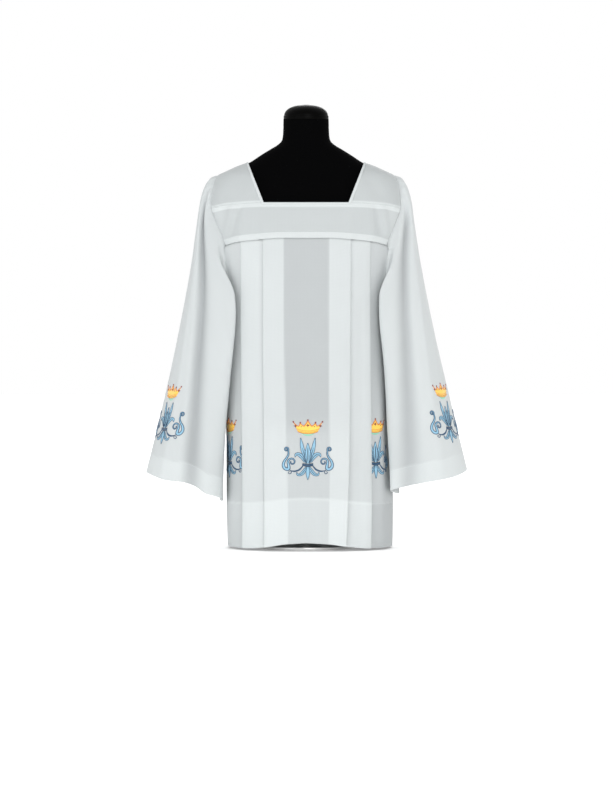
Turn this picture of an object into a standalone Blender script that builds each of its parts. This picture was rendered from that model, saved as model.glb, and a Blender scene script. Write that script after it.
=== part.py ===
"""A square-necked surplice on a limbless countertop dress form.

Metres, +Z up.  The garment's front faces -Y and its right-hand side, as seen from the front, is +X.
The origin is the middle of the stand's underside, on the surface that the form stands on.
"""

import math

import bmesh
import bpy

# ---------------------------------------------------------------- driving sizes

CLOTH = 0.0010  # wall of the single cloth
YOKE_CLOTH = 0.0014  # wall of the yoke, which is cut double
SEAM_GAP = 0.0006  # between two pieces that are sewn together
SQUARENESS = 2.4  # exponent of the body's rounded cross-section
QUARTER = math.pi / 2

NECKLINE_HALF = 0.102  # half-width of the neckline's lower edge
NECKLINE_TOP_HALF = 0.140  # half-width of the neckline on the shoulder ridge
NECKLINE_HEIGHT = 0.833
SHOULDER_NECK_HEIGHT = 0.929
SHOULDER_TIP_HEIGHT = 0.898
SHOULDER_TIP_HALF = 0.212
UNDERARM_HEIGHT = 0.600
BINDING_WIDTH = 0.004

# The garment's cross-section at each height: half-width, and depth to the front and to the back.
GARMENT_COLUMNS = ("height", "half_width", "front", "back")
GARMENT_RINGS = (
    (0.929, 0.140, 0.072, 0.070),
    (0.914, 0.176, 0.079, 0.079),
    (0.898, 0.212, 0.086, 0.088),
    (0.878, 0.226, 0.093, 0.097),
    (0.853, 0.233, 0.100, 0.105),
    (0.819, 0.236, 0.109, 0.113),
    (0.783, 0.231, 0.117, 0.118),
    (0.743, 0.224, 0.125, 0.121),
    (0.693, 0.216, 0.132, 0.122),
    (0.643, 0.209, 0.135, 0.121),
    (0.600, 0.204, 0.136, 0.120),
    (0.493, 0.206, 0.138, 0.121),
    (0.293, 0.207, 0.141, 0.126),
    (0.123, 0.209, 0.146, 0.132),
    (0.000, 0.207, 0.149, 0.135),
)

# The dress form's cross-section: as above, with its roundness, and how far its middle sits back.
FORM_COLUMNS = ("height", "half_width", "front", "back", "squareness", "set_back")
FORM_RINGS = (
    (1.033, 0.0535, 0.0535, 0.0535, 2.0, 0.004),
    (0.998, 0.0545, 0.0540, 0.0540, 2.0, 0.004),
    (0.983, 0.0580, 0.0560, 0.0560, 2.0, 0.003),
    (0.972, 0.0680, 0.0585, 0.0585, 2.1, 0.003),
    (0.963, 0.0830, 0.0605, 0.0600, 2.2, 0.002),
    (0.947, 0.1090, 0.0640, 0.0625, 2.3, 0.001),
    (0.929, 0.1365, 0.0685, 0.0665, 2.4, 0.000),
    (0.913, 0.1730, 0.0735, 0.0735, 2.4, 0.000),
    (0.898, 0.2030, 0.0790, 0.0810, 2.4, 0.000),
    (0.878, 0.2140, 0.0860, 0.0900, 2.4, 0.000),
    (0.853, 0.2170, 0.0930, 0.0980, 2.4, 0.000),
    (0.819, 0.2150, 0.1020, 0.1060, 2.4, 0.000),
    (0.783, 0.2090, 0.1090, 0.1110, 2.4, 0.000),
    (0.743, 0.2000, 0.1150, 0.1130, 2.4, 0.000),
    (0.693, 0.1890, 0.1190, 0.1110, 2.4, 0.000),
    (0.643, 0.1790, 0.1200, 0.1070, 2.3, 0.000),
    (0.600, 0.1710, 0.1180, 0.1020, 2.3, 0.000),
    (0.543, 0.1600, 0.1110, 0.0930, 2.2, 0.000),
    (0.473, 0.1500, 0.1040, 0.0870, 2.2, 0.000),
    (0.403, 0.1570, 0.1090, 0.0960, 2.2, 0.000),
    (0.333, 0.1670, 0.1150, 0.1080, 2.3, 0.000),
    (0.289, 0.1660, 0.1140, 0.1090, 2.3, 0.000),
    (0.283, 0.1610, 0.1090, 0.1040, 2.3, 0.000),
)
FORM_SIDES = 36

# How far out the armhole seam lies at each height, as a share of the garment's half-width.
ARMHOLE_COLUMNS = ("height", "share")
ARMHOLE = (
    (0.898, 1.000),
    (0.878, 0.983),
    (0.853, 0.970),
    (0.819, 0.9625),
    (0.789, 0.938),
    (0.759, 0.912),
    (0.728, 0.896),
    (0.693, 0.898),
    (0.663, 0.905),
    (0.633, 0.925),
    (0.613, 0.958),
    (0.600, 1.000),
)

# The yoke band's two seams: their heights at each distance from the centre.
BAND_TOP_SEAM = ((0.000, 0.833), (0.102, 0.833), (0.184, 0.828), (0.227, 0.819))
BAND_LOW_SEAM = ((0.000, 0.749), (0.054, 0.749), (0.105, 0.7455), (0.158, 0.7395), (0.199, 0.728))
BAND_DIPS = (0.095, 0.150)  # where its lower edge steps in, over the pleats' folds
BAND_DIP_WIDTH = 0.020

# Knife pleats, two on each side, that face away from the centre.  A pleat's cloth runs out to its
# fold, back under itself to its root, and out again.
PLEAT_COLUMNS = ("fold_top", "fold_hem", "root_top", "root_hem")
PLEATS = {
    -1: ((0.1025, 0.1040, 0.053, 0.054), (0.156, 0.160, 0.108, 0.111)),
    +1: ((0.1060, 0.0885, 0.054, 0.042), (0.153, 0.145, 0.106, 0.097)),
}
LAYER_TOP = 0.0014  # from one layer of a pleat to the next, at the yoke seam
LAYER_HEM = 0.0024  # and at the hem, where the pleats have opened
PLEAT_TOP_HEIGHT = 0.749

# The hem's height at each distance from the centre: the chest lifts it in the middle.
HEM = ((0.000, 0.021), (0.050, 0.018), (0.100, 0.0105), (0.150, 0.0060), (0.250, 0.0055))
SWAY = 0.011  # how far the skirt's hem hangs to the right of the neck
SWAY_REACH = 0.2  # the skirt's front and back sway fully from this far out

# Below the armhole the skirt's side columns spread from the side seam to here, over this fall.
SIDE_SPREAD_ANGLE, SIDE_SPREAD_FALL = math.radians(50), 0.5
SIDE_SETTLE = 0.25  # share of the skirt's length over which its sides go in under the pleats
SIDE_LEVEL_FROM = 0.4  # share of the outermost run that stays at its own layer's depth

# Sleeve stations from the armhole to the cuff: where its outer and inner lines run (distance from the
# centre, height), and how deep it is to the front and to the back.
SLEEVE_COLUMNS = ("along", "outer_x", "outer_z", "inner_x", "inner_z", "front", "back")
SLEEVES = {
    -1: (
        (0.00, 0.212, 0.898, 0.203, 0.600, 0.072, 0.072),
        (0.03, 0.229, 0.890, 0.206, 0.589, 0.074, 0.074),
        (0.08, 0.247, 0.855, 0.208, 0.567, 0.078, 0.076),
        (0.16, 0.259, 0.793, 0.210, 0.534, 0.084, 0.080),
        (0.30, 0.276, 0.685, 0.212, 0.465, 0.090, 0.086),
        (0.50, 0.305, 0.531, 0.213, 0.361, 0.095, 0.093),
        (0.75, 0.342, 0.360, 0.211, 0.233, 0.099, 0.099),
        (1.00, 0.386, 0.183, 0.208, 0.115, 0.102, 0.104),
    ),
    +1: (
        (0.00, 0.212, 0.898, 0.203, 0.600, 0.072, 0.072),
        (0.03, 0.229, 0.890, 0.206, 0.589, 0.074, 0.074),
        (0.08, 0.246, 0.855, 0.208, 0.567, 0.078, 0.076),
        (0.16, 0.257, 0.793, 0.210, 0.534, 0.084, 0.080),
        (0.30, 0.276, 0.685, 0.214, 0.465, 0.090, 0.086),
        (0.50, 0.306, 0.535, 0.217, 0.365, 0.095, 0.093),
        (0.75, 0.346, 0.365, 0.217, 0.243, 0.099, 0.099),
        (1.00, 0.389, 0.190, 0.214, 0.133, 0.102, 0.104),
    ),
}
SLEEVE_RINGS = (0.0, 0.03, 0.08, 0.15, 0.24, 0.36, 0.50, 0.66, 0.83, 1.0)
SLEEVE_SEAM_LIFT = 0.0021  # the sleeve's seam edge stands this far off the panels
SLEEVE_CLEARANCE = 0.0060  # and the rest of it hangs this clear of the body
SLEEVE_LIFTS_OFF = 0.03  # the share of the sleeve's length by which it hangs clear

# The slack under the armhole falls in over the skirt as a fold: its edge's distance from the centre.
FALL_COLUMNS = ("height", "edge")
SLEEVE_FALLS = {
    -1: ((0.745, 0.201), (0.620, 0.173), (0.567, 0.169), (0.404, 0.182), (0.305, 0.192), (0.123, 0.206)),
    +1: ((0.730, 0.205), (0.632, 0.185), (0.567, 0.182), (0.469, 0.189), (0.370, 0.195), (0.140, 0.204)),
}
FALL_TURN, FALL_SPREAD = 2.15, 0.55  # where round the sleeve the fold's edge is, and how wide it is
FALL_PROUD = 0.028  # how far the fold stands forward
FALL_BEHIND = 0.6  # the same fold behind, as a share of the front's
FALL_STARTS, FALL_FADES, FALL_FADE_LENGTH = 0.12, 0.3, 0.6  # shares of the sleeve's length

# Each sleeve's long troughs: where round the sleeve each one runs, and how deep it is.
TROUGH_COLUMNS = ("along", "turn", "depth")
SLEEVE_TROUGHS = {
    -1: (
        ((0, 0.50, 0.0), (0.08, 1.02, 0.006), (0.3, 1.36, 0.009), (0.6, 1.60, 0.009), (1, 1.82, 0.012)),
        ((0, 5.40, 0.0), (0.10, 5.05, 0.005), (0.4, 4.75, 0.009), (0.7, 4.60, 0.011), (1, 4.45, 0.013)),
    ),
    +1: (
        ((0, 1.20, 0.0), (0.08, 1.52, 0.005), (0.3, 1.92, 0.008), (0.6, 2.12, 0.008), (1, 2.26, 0.009)),
        ((0, 5.20, 0.0), (0.10, 4.90, 0.004), (0.4, 4.55, 0.010), (0.7, 4.45, 0.012), (1, 4.40, 0.012)),
    ),
}
TROUGH_WIDTH = 0.20

# The dress form's neck cap, and the stand.
CAP_RADIUS, CAP_HEIGHT, CAP_RIM, CAP_ROUNDING, CAP_TOP_RADIUS = 0.053, 0.035, 0.0055, 0.0015, 0.004
CAP_DOME_STEPS, CAP_DOME_FULLNESS = 7, 0.8
BASE_RADIUS, BASE_HEIGHT, BASE_ROUNDING = 0.120, 0.008, 0.002
POLE_RADIUS = 0.016
FLANGE_RADIUS, FLANGE_HEIGHT = 0.045, 0.006
CAP_SIDES, BASE_SIDES, POLE_SIDES = 32, 48, 24

MATERIALS = {  # colour, roughness, metallic
    "surplice_cloth": ((0.86, 0.88, 0.88), 0.75, 0.0),
    "yoke_cloth": ((0.82, 0.84, 0.84), 0.75, 0.0),
    "form_jersey": ((0.010, 0.010, 0.011), 0.85, 0.0),
    "neck_cap": ((0.030, 0.029, 0.026), 0.45, 0.0),
    "stand_metal": ((0.62, 0.62, 0.61), 0.28, 1.0),
}


# ---------------------------------------------------------------- small tools


def smooth(at, knots, values):
    """A smooth curve through the table's points, level with its ends outside it."""
    if knots[0] > knots[-1]:
        knots, values = knots[::-1], values[::-1]
    if at <= knots[0]:
        return values[0]
    if at >= knots[-1]:
        return values[-1]
    i = max(k for k in range(len(knots) - 1) if knots[k] <= at)
    steps = [b - a for a, b in zip(knots, knots[1:])]
    slopes = [(b - a) / step for a, b, step in zip(values, values[1:], steps)]

    def tangent(k):
        if k == 0 or k == len(knots) - 1:
            return slopes[min(k, len(slopes) - 1)]
        before, after = slopes[k - 1], slopes[k]
        if before * after <= 0:
            return 0.0
        return 2 * before * after / (before + after)

    step = steps[i]
    t = (at - knots[i]) / step
    return (
        (1 + 2 * t) * (1 - t) ** 2 * values[i]
        + t * (1 - t) ** 2 * step * tangent(i)
        + t * t * (3 - 2 * t) * values[i + 1]
        + t * t * (t - 1) * step * tangent(i + 1)
    )


def column(rows, names, name):
    place = names.index(name)
    return [row[place] for row in rows]


def read(rows, names, name, at):
    """A named column of a table, read smoothly at a value of its first column."""
    return smooth(at, column(rows, names, names[0]), column(rows, names, name))


def along(pairs, at):
    return smooth(at, [p[0] for p in pairs], [p[1] for p in pairs])


def mix(a, b, t):
    return a + (b - a) * t


def ease(t):
    t = min(1.0, max(0.0, t))
    return t * t * (3 - 2 * t)


# ---------------------------------------------------------------- the body's surface


def sway(z):
    return SWAY * ease((UNDERARM_HEIGHT - z) / UNDERARM_HEIGHT)


def half_width(z):
    return read(GARMENT_RINGS, GARMENT_COLUMNS, "half_width", z)


def depth(z, side):
    """side is -1 at the front and +1 at the back."""
    return read(GARMENT_RINGS, GARMENT_COLUMNS, "front" if side < 0 else "back", z)


def on_body(x, z, side, inset=0.0):
    """The point of the garment's surface at x and z, set in from it by inset."""
    share = min(1.0, abs(x - sway(z)) / (half_width(z) - inset))
    rise = (1 - share**SQUARENESS) ** (1 / SQUARENESS)
    return (x, side * (depth(z, side) - inset) * rise, z)


def at_angle(angle, z, side, inset=0.0):
    """The point at this angle from the centre line: 0 is the centre, a quarter turn is the side."""
    power = 2 / SQUARENESS
    x = math.copysign(abs(math.sin(angle)) ** power, angle) * (half_width(z) - inset)
    y = side * max(0.0, math.cos(angle)) ** power * (depth(z, side) - inset)
    return (x + sway(z), y, z)


def level(x, y, z, side):
    """Below 1 inside the garment's surface, 1 on it, and above 1 outside."""
    across = abs(x - sway(z)) / half_width(z)
    return across**SQUARENESS + (abs(y) / depth(z, side)) ** SQUARENESS


def outward(point, side):
    """The unit normal of the garment's surface near a point."""
    x, y, z = point
    step = 0.002
    here = level(x, y, z, side)
    slope = [
        level(x + step, y, z, side) - here,
        (level(x, y + side * step, z, side) - here) * side,
        here - level(x, y, z - step, side),
    ]
    if abs(x) < 1e-9:
        slope[0] = 0.0
    size = math.sqrt(sum(s * s for s in slope))
    return [s / size for s in slope]


def clear_of_body(point, clearance):
    """The point, moved straight out from the body's axis where it would come too near the body."""
    x, y, z = point
    side = -1 if y < 0 else 1
    middle = sway(z)
    across = abs(x - middle) / (half_width(z) + clearance)
    deep = abs(y) / (depth(z, side) + clearance)
    share = (across**SQUARENESS + deep**SQUARENESS) ** (1 / SQUARENESS)
    if share >= 1:
        return point
    return (middle + (x - middle) / share, y / share, z)


def armhole_point(z, hand, side):
    share = read(ARMHOLE, ARMHOLE_COLUMNS, "share", z)
    middle = sway(z)
    x = middle + hand * share * half_width(z)
    rise = max(0.0, 1 - share**SQUARENESS) ** (1 / SQUARENESS)
    return (x, side * depth(z, side) * rise, z)


# ---------------------------------------------------------------- making objects


def material(name):
    found = bpy.data.materials.get(name)
    if found:
        return found
    colour, roughness, metallic = MATERIALS[name]
    made = bpy.data.materials.new(name)
    made.use_nodes = True
    shader = made.node_tree.nodes["Principled BSDF"]
    shader.inputs["Base Color"].default_value = (*colour, 1)
    shader.inputs["Roughness"].default_value = roughness
    shader.inputs["Metallic"].default_value = metallic
    made.diffuse_color = (*colour, 1)
    return made


def new_object(name, points, faces, finish, parent):
    mesh = bpy.data.meshes.new(name)
    mesh.from_pydata(points, [], faces)
    mesh.shade_smooth()
    mesh.set_sharp_from_angle(angle=math.radians(40))
    mesh.materials.append(material(finish))
    made = bpy.data.objects.new(name, mesh)
    bpy.context.scene.collection.objects.link(made)
    made.parent = parent
    return made


def sheet(name, grid, thickness, finish, parent, ring=False):
    """A wall of cloth over a grid of points; ring closes each row on itself."""
    rows, width = len(grid), len(grid[0])
    points = [p for row in grid for p in row]
    faces = []
    for r in range(rows - 1):
        for c in range(width if ring else width - 1):
            following = (c + 1) % width
            faces.append(
                (r * width + c, r * width + following, (r + 1) * width + following, (r + 1) * width + c)
            )
    made = new_object(name, points, faces, finish, parent)
    wall = made.modifiers.new("wall", "SOLIDIFY")
    wall.thickness = thickness
    wall.offset = 0
    wall.use_even_offset = True
    return made


def turned(name, profile, sides, finish, parent):
    """A solid turned about the Z axis from (radius, height) points, from its bottom to its top."""
    points = [
        (r * math.cos(2 * math.pi * k / sides), r * math.sin(2 * math.pi * k / sides), z)
        for r, z in profile
        for k in range(sides)
    ]
    return closed_loft(name, points, len(profile), sides, finish, parent)


def closed_loft(name, points, rings, sides, finish, parent):
    """A closed solid over rings of points that run anticlockwise, from the lowest ring up."""
    faces = []
    for r in range(rings - 1):
        for c in range(sides):
            following = (c + 1) % sides
            faces.append(
                (r * sides + c, r * sides + following, (r + 1) * sides + following, (r + 1) * sides + c)
            )
    faces.append(tuple(reversed(range(sides))))
    faces.append(tuple(range((rings - 1) * sides, rings * sides)))
    return new_object(name, points, faces, finish, parent)


# ---------------------------------------------------------------- the garment's pieces

STRAP_STEPS = 7  # from the shoulder ridge to the seam, down each side
STRAP_ACROSS = 5
BAND_STEPS = 3
NECKLINE_STEPS = 3  # across half of the neckline's lower edge


def crossing(passed, low, high):
    """The height at which passed turns true on the way up."""
    for _ in range(30):
        middle = (low + high) / 2
        if passed(middle):
            high = middle
        else:
            low = middle
    return high


def neckline_x(z):
    down = (SHOULDER_NECK_HEIGHT - z) / (SHOULDER_NECK_HEIGHT - NECKLINE_HEIGHT)
    return mix(NECKLINE_TOP_HALF, NECKLINE_HALF, down)


def armhole_x(z):
    return armhole_point(z, 1, -1)[0] - sway(z)


def strap_edge(edge_x, ridge, w, side):
    """Distance from the centre of a shoulder's end edge: w is 0 on the ridge and 1 on the yoke's seam."""
    seam = along(BAND_TOP_SEAM, edge_x(NECKLINE_HEIGHT))
    reach = abs(on_body(edge_x(seam), seam, side)[1]) * math.sin(w * QUARTER)
    return edge_x(crossing(lambda z: abs(on_body(edge_x(z), z, side)[1]) <= reach, seam, ridge))


def strap_point(u, w, side, gap=SEAM_GAP / 2):
    """A point of the shoulder: u runs from the neckline to the armhole, w from the ridge to the seam."""
    at_neck, at_armhole = (
        [strap_edge(edge_x, ridge, k, side) for k in (w, 1)]
        for edge_x, ridge in ((neckline_x, SHOULDER_NECK_HEIGHT), (armhole_x, SHOULDER_TIP_HEIGHT))
    )
    x, seam_x = (mix(a, b, u) for a, b in zip(at_neck, at_armhole))
    seam = along(BAND_TOP_SEAM, seam_x) + gap
    if w == 1:
        return on_body(seam_x, seam, side)
    reach = abs(on_body(seam_x, seam, side)[1]) * math.sin(w * QUARTER)
    z = crossing(lambda z: level(x, reach, z, side) >= 1, seam, SHOULDER_NECK_HEIGHT)
    return (x, side * reach, z)


def shoulder_strap(hand, parent):
    """One shoulder piece, from the front band over the shoulder to the back band."""
    name = "shoulder_left" if hand < 0 else "shoulder_right"
    grid = []
    for step in range(-STRAP_STEPS, STRAP_STEPS + 1):
        side = -1 if step < 0 else 1
        row = []
        for k in range(STRAP_ACROSS + 1):
            x, y, z = strap_point(k / STRAP_ACROSS, abs(step) / STRAP_STEPS, side)
            row.append((hand * x, y, z))
        grid.append(row)
    return sheet(name, grid, YOKE_CLOTH, "yoke_cloth", parent)


def layer_gap(z):
    return mix(LAYER_HEM, LAYER_TOP, min(1.0, z / PLEAT_TOP_HEIGHT))


def band_inset(x, v):
    """The band's lower edge dips in over the pleats, as they step down towards the side."""
    steps = sum(ease((abs(x) - dip) / BAND_DIP_WIDTH) for dip in BAND_DIPS)
    return 2 * LAYER_TOP * steps * v * v


def band_shares():
    """The band's columns, as shares of its half-width: they meet the shoulders' own columns."""
    end = armhole_x(BAND_TOP_SEAM[-1][1])
    neck = [NECKLINE_HALF / end * k / NECKLINE_STEPS for k in range(NECKLINE_STEPS)]
    half = neck + [mix(NECKLINE_HALF, end, k / STRAP_ACROSS) / end for k in range(STRAP_ACROSS + 1)]
    return [-share for share in half[:0:-1]] + half


def yoke_band(side, parent):
    """The band across the chest or the back, between the yoke's two seams."""
    name = "yoke_band_front" if side < 0 else "yoke_band_back"
    top_half, low_half = BAND_TOP_SEAM[-1][0], BAND_LOW_SEAM[-1][0]
    grid = []
    for step in range(BAND_STEPS + 1):
        v = step / BAND_STEPS
        row = []
        for share in band_shares():
            top = along(BAND_TOP_SEAM, abs(share) * top_half) - SEAM_GAP / 2
            low = along(BAND_LOW_SEAM, abs(share) * low_half) + SEAM_GAP / 2
            z = mix(top, low, v)
            x = share * abs(armhole_point(z, 1, side)[0])
            row.append(on_body(x, z, side, band_inset(x, v)))
        grid.append(row)
    return sheet(name, grid, YOKE_CLOTH, "yoke_cloth", parent)


SKIRT_ROWS = (0.0, 0.10, 0.22, 0.36, 0.52, 0.68, 0.84, 1.0)
SKIRT_SIDE_HEIGHTS = (0.728, 0.693, 0.663, 0.633, 0.613, 0.600)  # the armhole's lower stations


def pleat_at(hand, number, name, z):
    row = PLEATS[hand][number]
    top = row[PLEAT_COLUMNS.index(name + "_top")]
    hem = row[PLEAT_COLUMNS.index(name + "_hem")]
    return mix(hem, top, min(1.0, z / PLEAT_TOP_HEIGHT))


def side_angles():
    """Angles of the side columns where they meet the armhole, then the side seam."""
    shares = [read(ARMHOLE, ARMHOLE_COLUMNS, "share", z) for z in SKIRT_SIDE_HEIGHTS]
    return [math.asin(s ** (SQUARENESS / 2)) for s in shares]


# The runs of cloth from the centre to the armhole, one layer under another: each one's two ends, and
# how many columns of points it is cut into.  An end is a fold or a root, and the number of its pleat.
RUNS = (
    (("centre", 0), ("fold", 0), 3),
    (("fold", 0), ("root", 0), 2),
    (("root", 0), ("fold", 1), 3),
    (("fold", 1), ("root", 1), 2),
    (("root", 1), ("armhole", 0), 3),
)


def skirt_columns():
    """A rule for each column of points between the centre and a side seam, without the centre's own."""
    columns = []
    for layer, (start, end, count) in enumerate(RUNS):
        for k in range(count + 1):
            columns.append(("run", start, end, k / count, layer))
    for k in range(1, len(SKIRT_SIDE_HEIGHTS)):
        columns.append(("side", k, None, None, len(RUNS) - 1))
    return columns[1:]


def side_spread(z):
    return ease((SKIRT_SIDE_HEIGHTS[0] - z) / SIDE_SPREAD_FALL)


def place_x(hand, place, z):
    """How far from the centre a run's end is, at this height."""
    kind, number = place
    if kind == "centre":
        return 0.0
    if kind == "armhole":
        angle = mix(side_angles()[0], SIDE_SPREAD_ANGLE, side_spread(z))
        return abs(at_angle(angle, z, -1, (len(RUNS) - 1) * layer_gap(z))[0] - sway(z))
    return pleat_at(hand, number, kind, z)


def skirt_point(hand, side, rule, share_down):
    """One point of the skirt, share_down of the way from its top edge to the hem."""
    kind, start, end, t, layer = rule
    if kind == "side":
        z = mix(SKIRT_SIDE_HEIGHTS[start], along(HEM, half_width(0)), share_down)
        inset = layer * layer_gap(z) * ease(share_down / SIDE_SETTLE)
        even = mix(SIDE_SPREAD_ANGLE, QUARTER, start / (len(SKIRT_SIDE_HEIGHTS) - 1))
        angle = mix(side_angles()[start], even, side_spread(z))
        return at_angle(hand * angle, z, side, inset)
    sizes = [mix(place_x(hand, start, z), place_x(hand, end, z), t) for z in (PLEAT_TOP_HEIGHT, 0.0)]
    top = along(BAND_LOW_SEAM, sizes[0]) - SEAM_GAP / 2
    if end == ("armhole", 0) and t == 1:
        top = SKIRT_SIDE_HEIGHTS[0] - SEAM_GAP / 2
    hem = along(HEM, sizes[1])
    z = mix(top, hem, share_down)
    x = mix(place_x(hand, start, z), place_x(hand, end, z), t)
    inset = layer * layer_gap(z)
    if end == ("armhole", 0):
        inset *= 1 - ease((t - SIDE_LEVEL_FROM) / (1 - SIDE_LEVEL_FROM)) * (1 - ease(share_down / SIDE_SETTLE))
    return on_body(hand * x + sway(z) * x / SWAY_REACH, z, side, inset)


def skirt(side, parent):
    """The pleated panel under the band, from side seam to side seam."""
    name = "skirt_front" if side < 0 else "skirt_back"
    grid = []
    for share_down in SKIRT_ROWS:
        left, right = (
            [skirt_point(hand, side, rule, share_down) for rule in skirt_columns()] for hand in (-1, 1)
        )
        middle_z = mix(along(BAND_LOW_SEAM, 0) - SEAM_GAP / 2, along(HEM, 0), share_down)
        row = left[::-1] + [on_body(0.0, middle_z, side)] + right
        for end in (0, -1):
            x, y, z = row[end]
            row[end] = (x, y + side * SEAM_GAP / 2, z)
        grid.append(row)
    return sheet(name, grid, CLOTH, "surplice_cloth", parent)


def armhole_stations():
    """Heights round the armhole: down the front from the ridge to the underarm, then up the back."""
    strap = [strap_point(1, k / STRAP_STEPS, -1)[2] for k in range(STRAP_STEPS + 1)]
    low_seam = SKIRT_SIDE_HEIGHTS[0]
    band = [mix(strap[-1], low_seam, k / BAND_STEPS) for k in range(1, BAND_STEPS)]
    down = strap + band + list(SKIRT_SIDE_HEIGHTS)
    return [(z, -1) for z in down] + [(z, 1) for z in down[-2:0:-1]]


def sleeve_turns(stations):
    """The angle of each armhole station round the sleeve: 0 is its outer line, a half turn its inner."""
    middle = (SHOULDER_TIP_HEIGHT + UNDERARM_HEIGHT) / 2
    reach = SHOULDER_TIP_HEIGHT - middle
    turns = [math.acos(max(-1.0, min(1.0, (z - middle) / reach))) for z, side in stations]
    return [turn if side < 0 else 2 * math.pi - turn for turn, (z, side) in zip(turns, stations)]


def sleeve_ring(hand, v, turn):
    """A point of the plain sleeve at v of the way down it."""
    rows = SLEEVES[hand]

    def size(name):
        return read(rows, SLEEVE_COLUMNS, name, v)

    share = (1 + math.cos(turn)) / 2
    x = mix(size("inner_x"), size("outer_x"), share)
    z = mix(size("inner_z"), size("outer_z"), share)
    deep = math.sin(turn)
    return (x, -deep * size("front" if deep > 0 else "back"), z)


def bump(at, centre, width):
    return math.exp(-(((at - centre) / width) ** 2))


def fallen_fold(hand, v, turn):
    """How far the slack moves a point in towards the body, and how far out to the front or the back."""
    in_front = turn < math.pi
    edge_turn = FALL_TURN if in_front else 2 * math.pi - FALL_TURN
    edge = sleeve_ring(hand, v, edge_turn)
    reach = edge[0] - read(SLEEVE_FALLS[hand], FALL_COLUMNS, "edge", edge[2])
    share = bump(turn, edge_turn, FALL_SPREAD) * ease(v / FALL_STARTS)
    share *= 1 if in_front else FALL_BEHIND
    fading = 1 - ease((v - FALL_FADES) / FALL_FADE_LENGTH)
    return max(0.0, reach) * share, FALL_PROUD * share * fading


def trough_depth(hand, v, turn):
    return sum(
        read(rows, TROUGH_COLUMNS, "depth", v)
        * bump(turn, read(rows, TROUGH_COLUMNS, "turn", v), TROUGH_WIDTH)
        for rows in SLEEVE_TROUGHS[hand]
    )


def sleeve_point(hand, v, turn, side, seam):
    """A point of the sleeve: it leaves the armhole's seam and fills out to the plain sleeve."""
    start = sleeve_ring(hand, 0.0, turn)
    plain = sleeve_ring(hand, v, turn)
    inward, proud = fallen_fold(hand, v, turn)
    trough = trough_depth(hand, v, turn)
    fade = (1 - v) ** 3
    x = plain[0] + (hand * seam[0] - start[0]) * fade - inward - trough * math.cos(turn)
    y = plain[1] + (seam[1] - start[1]) * fade + side * (proud - trough * abs(math.sin(turn)))
    z = plain[2] + (seam[2] - start[2]) * fade
    return clear_of_body((hand * x, y, z), SLEEVE_CLEARANCE * min(1.0, v / SLEEVE_LIFTS_OFF))


def sleeve(hand, parent):
    name = "sleeve_left" if hand < 0 else "sleeve_right"
    stations = armhole_stations()
    seams = []
    for z, side in stations:
        seam = armhole_point(z, hand, side)
        seams.append(tuple(p + n * SLEEVE_SEAM_LIFT for p, n in zip(seam, outward(seam, side))))
    grid = [seams]
    for v in SLEEVE_RINGS[1:]:
        grid.append(
            [
                sleeve_point(hand, v, turn, side, seam)
                for (z, side), turn, seam in zip(stations, sleeve_turns(stations), seams)
            ]
        )
    return sheet(name, grid, CLOTH, "surplice_cloth", parent, ring=True)


def neck_binding(parent):
    """The narrow binding round the neckline, on top of the yoke's own edge."""
    lift = YOKE_CLOTH / 2 + SEAM_GAP + CLOTH / 2
    low_xs = [NECKLINE_HALF * k / NECKLINE_STEPS for k in range(NECKLINE_STEPS - 1, -1, -1)]
    rows = []
    for width in (0.0, BINDING_WIDTH):
        u = width / (SHOULDER_TIP_HALF - NECKLINE_TOP_HALF)
        halves = {}
        for side in (-1, 1):
            down = [strap_point(u, k / STRAP_STEPS, side, -SEAM_GAP / 2) for k in range(STRAP_STEPS)]
            corner = (NECKLINE_HALF + width, NECKLINE_HEIGHT - SEAM_GAP / 2 - width)
            low = [corner] + [(x, corner[1]) for x in low_xs]
            halves[side] = down + [on_body(x, z, side) for x, z in low]
        front, back = halves[-1], halves[1]
        right = back[::-1] + front[1:]
        left = [(-x, y, z) for x, y, z in right[-2:0:-1]]
        row = []
        for x, y, z in right + left:
            side = -1 if y < 0 else 1
            row.append(tuple(p + n * lift for p, n in zip((x, y, z), outward((x, y, z), side))))
        rows.append(row)
    return sheet("neck_binding", rows, CLOTH, "surplice_cloth", parent, ring=True)


# ---------------------------------------------------------------- the dress form and its stand


def form_torso(parent):
    rows = sorted(FORM_RINGS)
    points = []
    for height, wide, front, back, square, set_back in rows:
        for k in range(FORM_SIDES):
            turn = 2 * math.pi * k / FORM_SIDES
            c, s = math.cos(turn), math.sin(turn)
            x = math.copysign(abs(c) ** (2 / square), c) * wide
            y = math.copysign(abs(s) ** (2 / square), s) * (front if s < 0 else back)
            points.append((x, y + set_back, height))
    return closed_loft("form_torso", points, len(rows), FORM_SIDES, "form_jersey", parent)


def neck_cap(parent):
    low = FORM_RINGS[0][0] + SEAM_GAP
    profile = [(CAP_RADIUS - CAP_ROUNDING, low), (CAP_RADIUS, low + CAP_ROUNDING), (CAP_RADIUS, low + CAP_RIM)]
    for k in range(1, CAP_DOME_STEPS):
        turn = QUARTER * k / CAP_DOME_STEPS
        rise = CAP_RIM + (CAP_HEIGHT - CAP_RIM) * math.sin(turn)
        profile.append((CAP_RADIUS * math.cos(turn) ** CAP_DOME_FULLNESS, low + rise))
    profile.append((CAP_TOP_RADIUS, low + CAP_HEIGHT))
    made = turned("neck_cap", profile, CAP_SIDES, "neck_cap", parent)
    set_back = FORM_RINGS[0][FORM_COLUMNS.index("set_back")]
    made.location = (0, set_back, 0)
    return made


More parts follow.
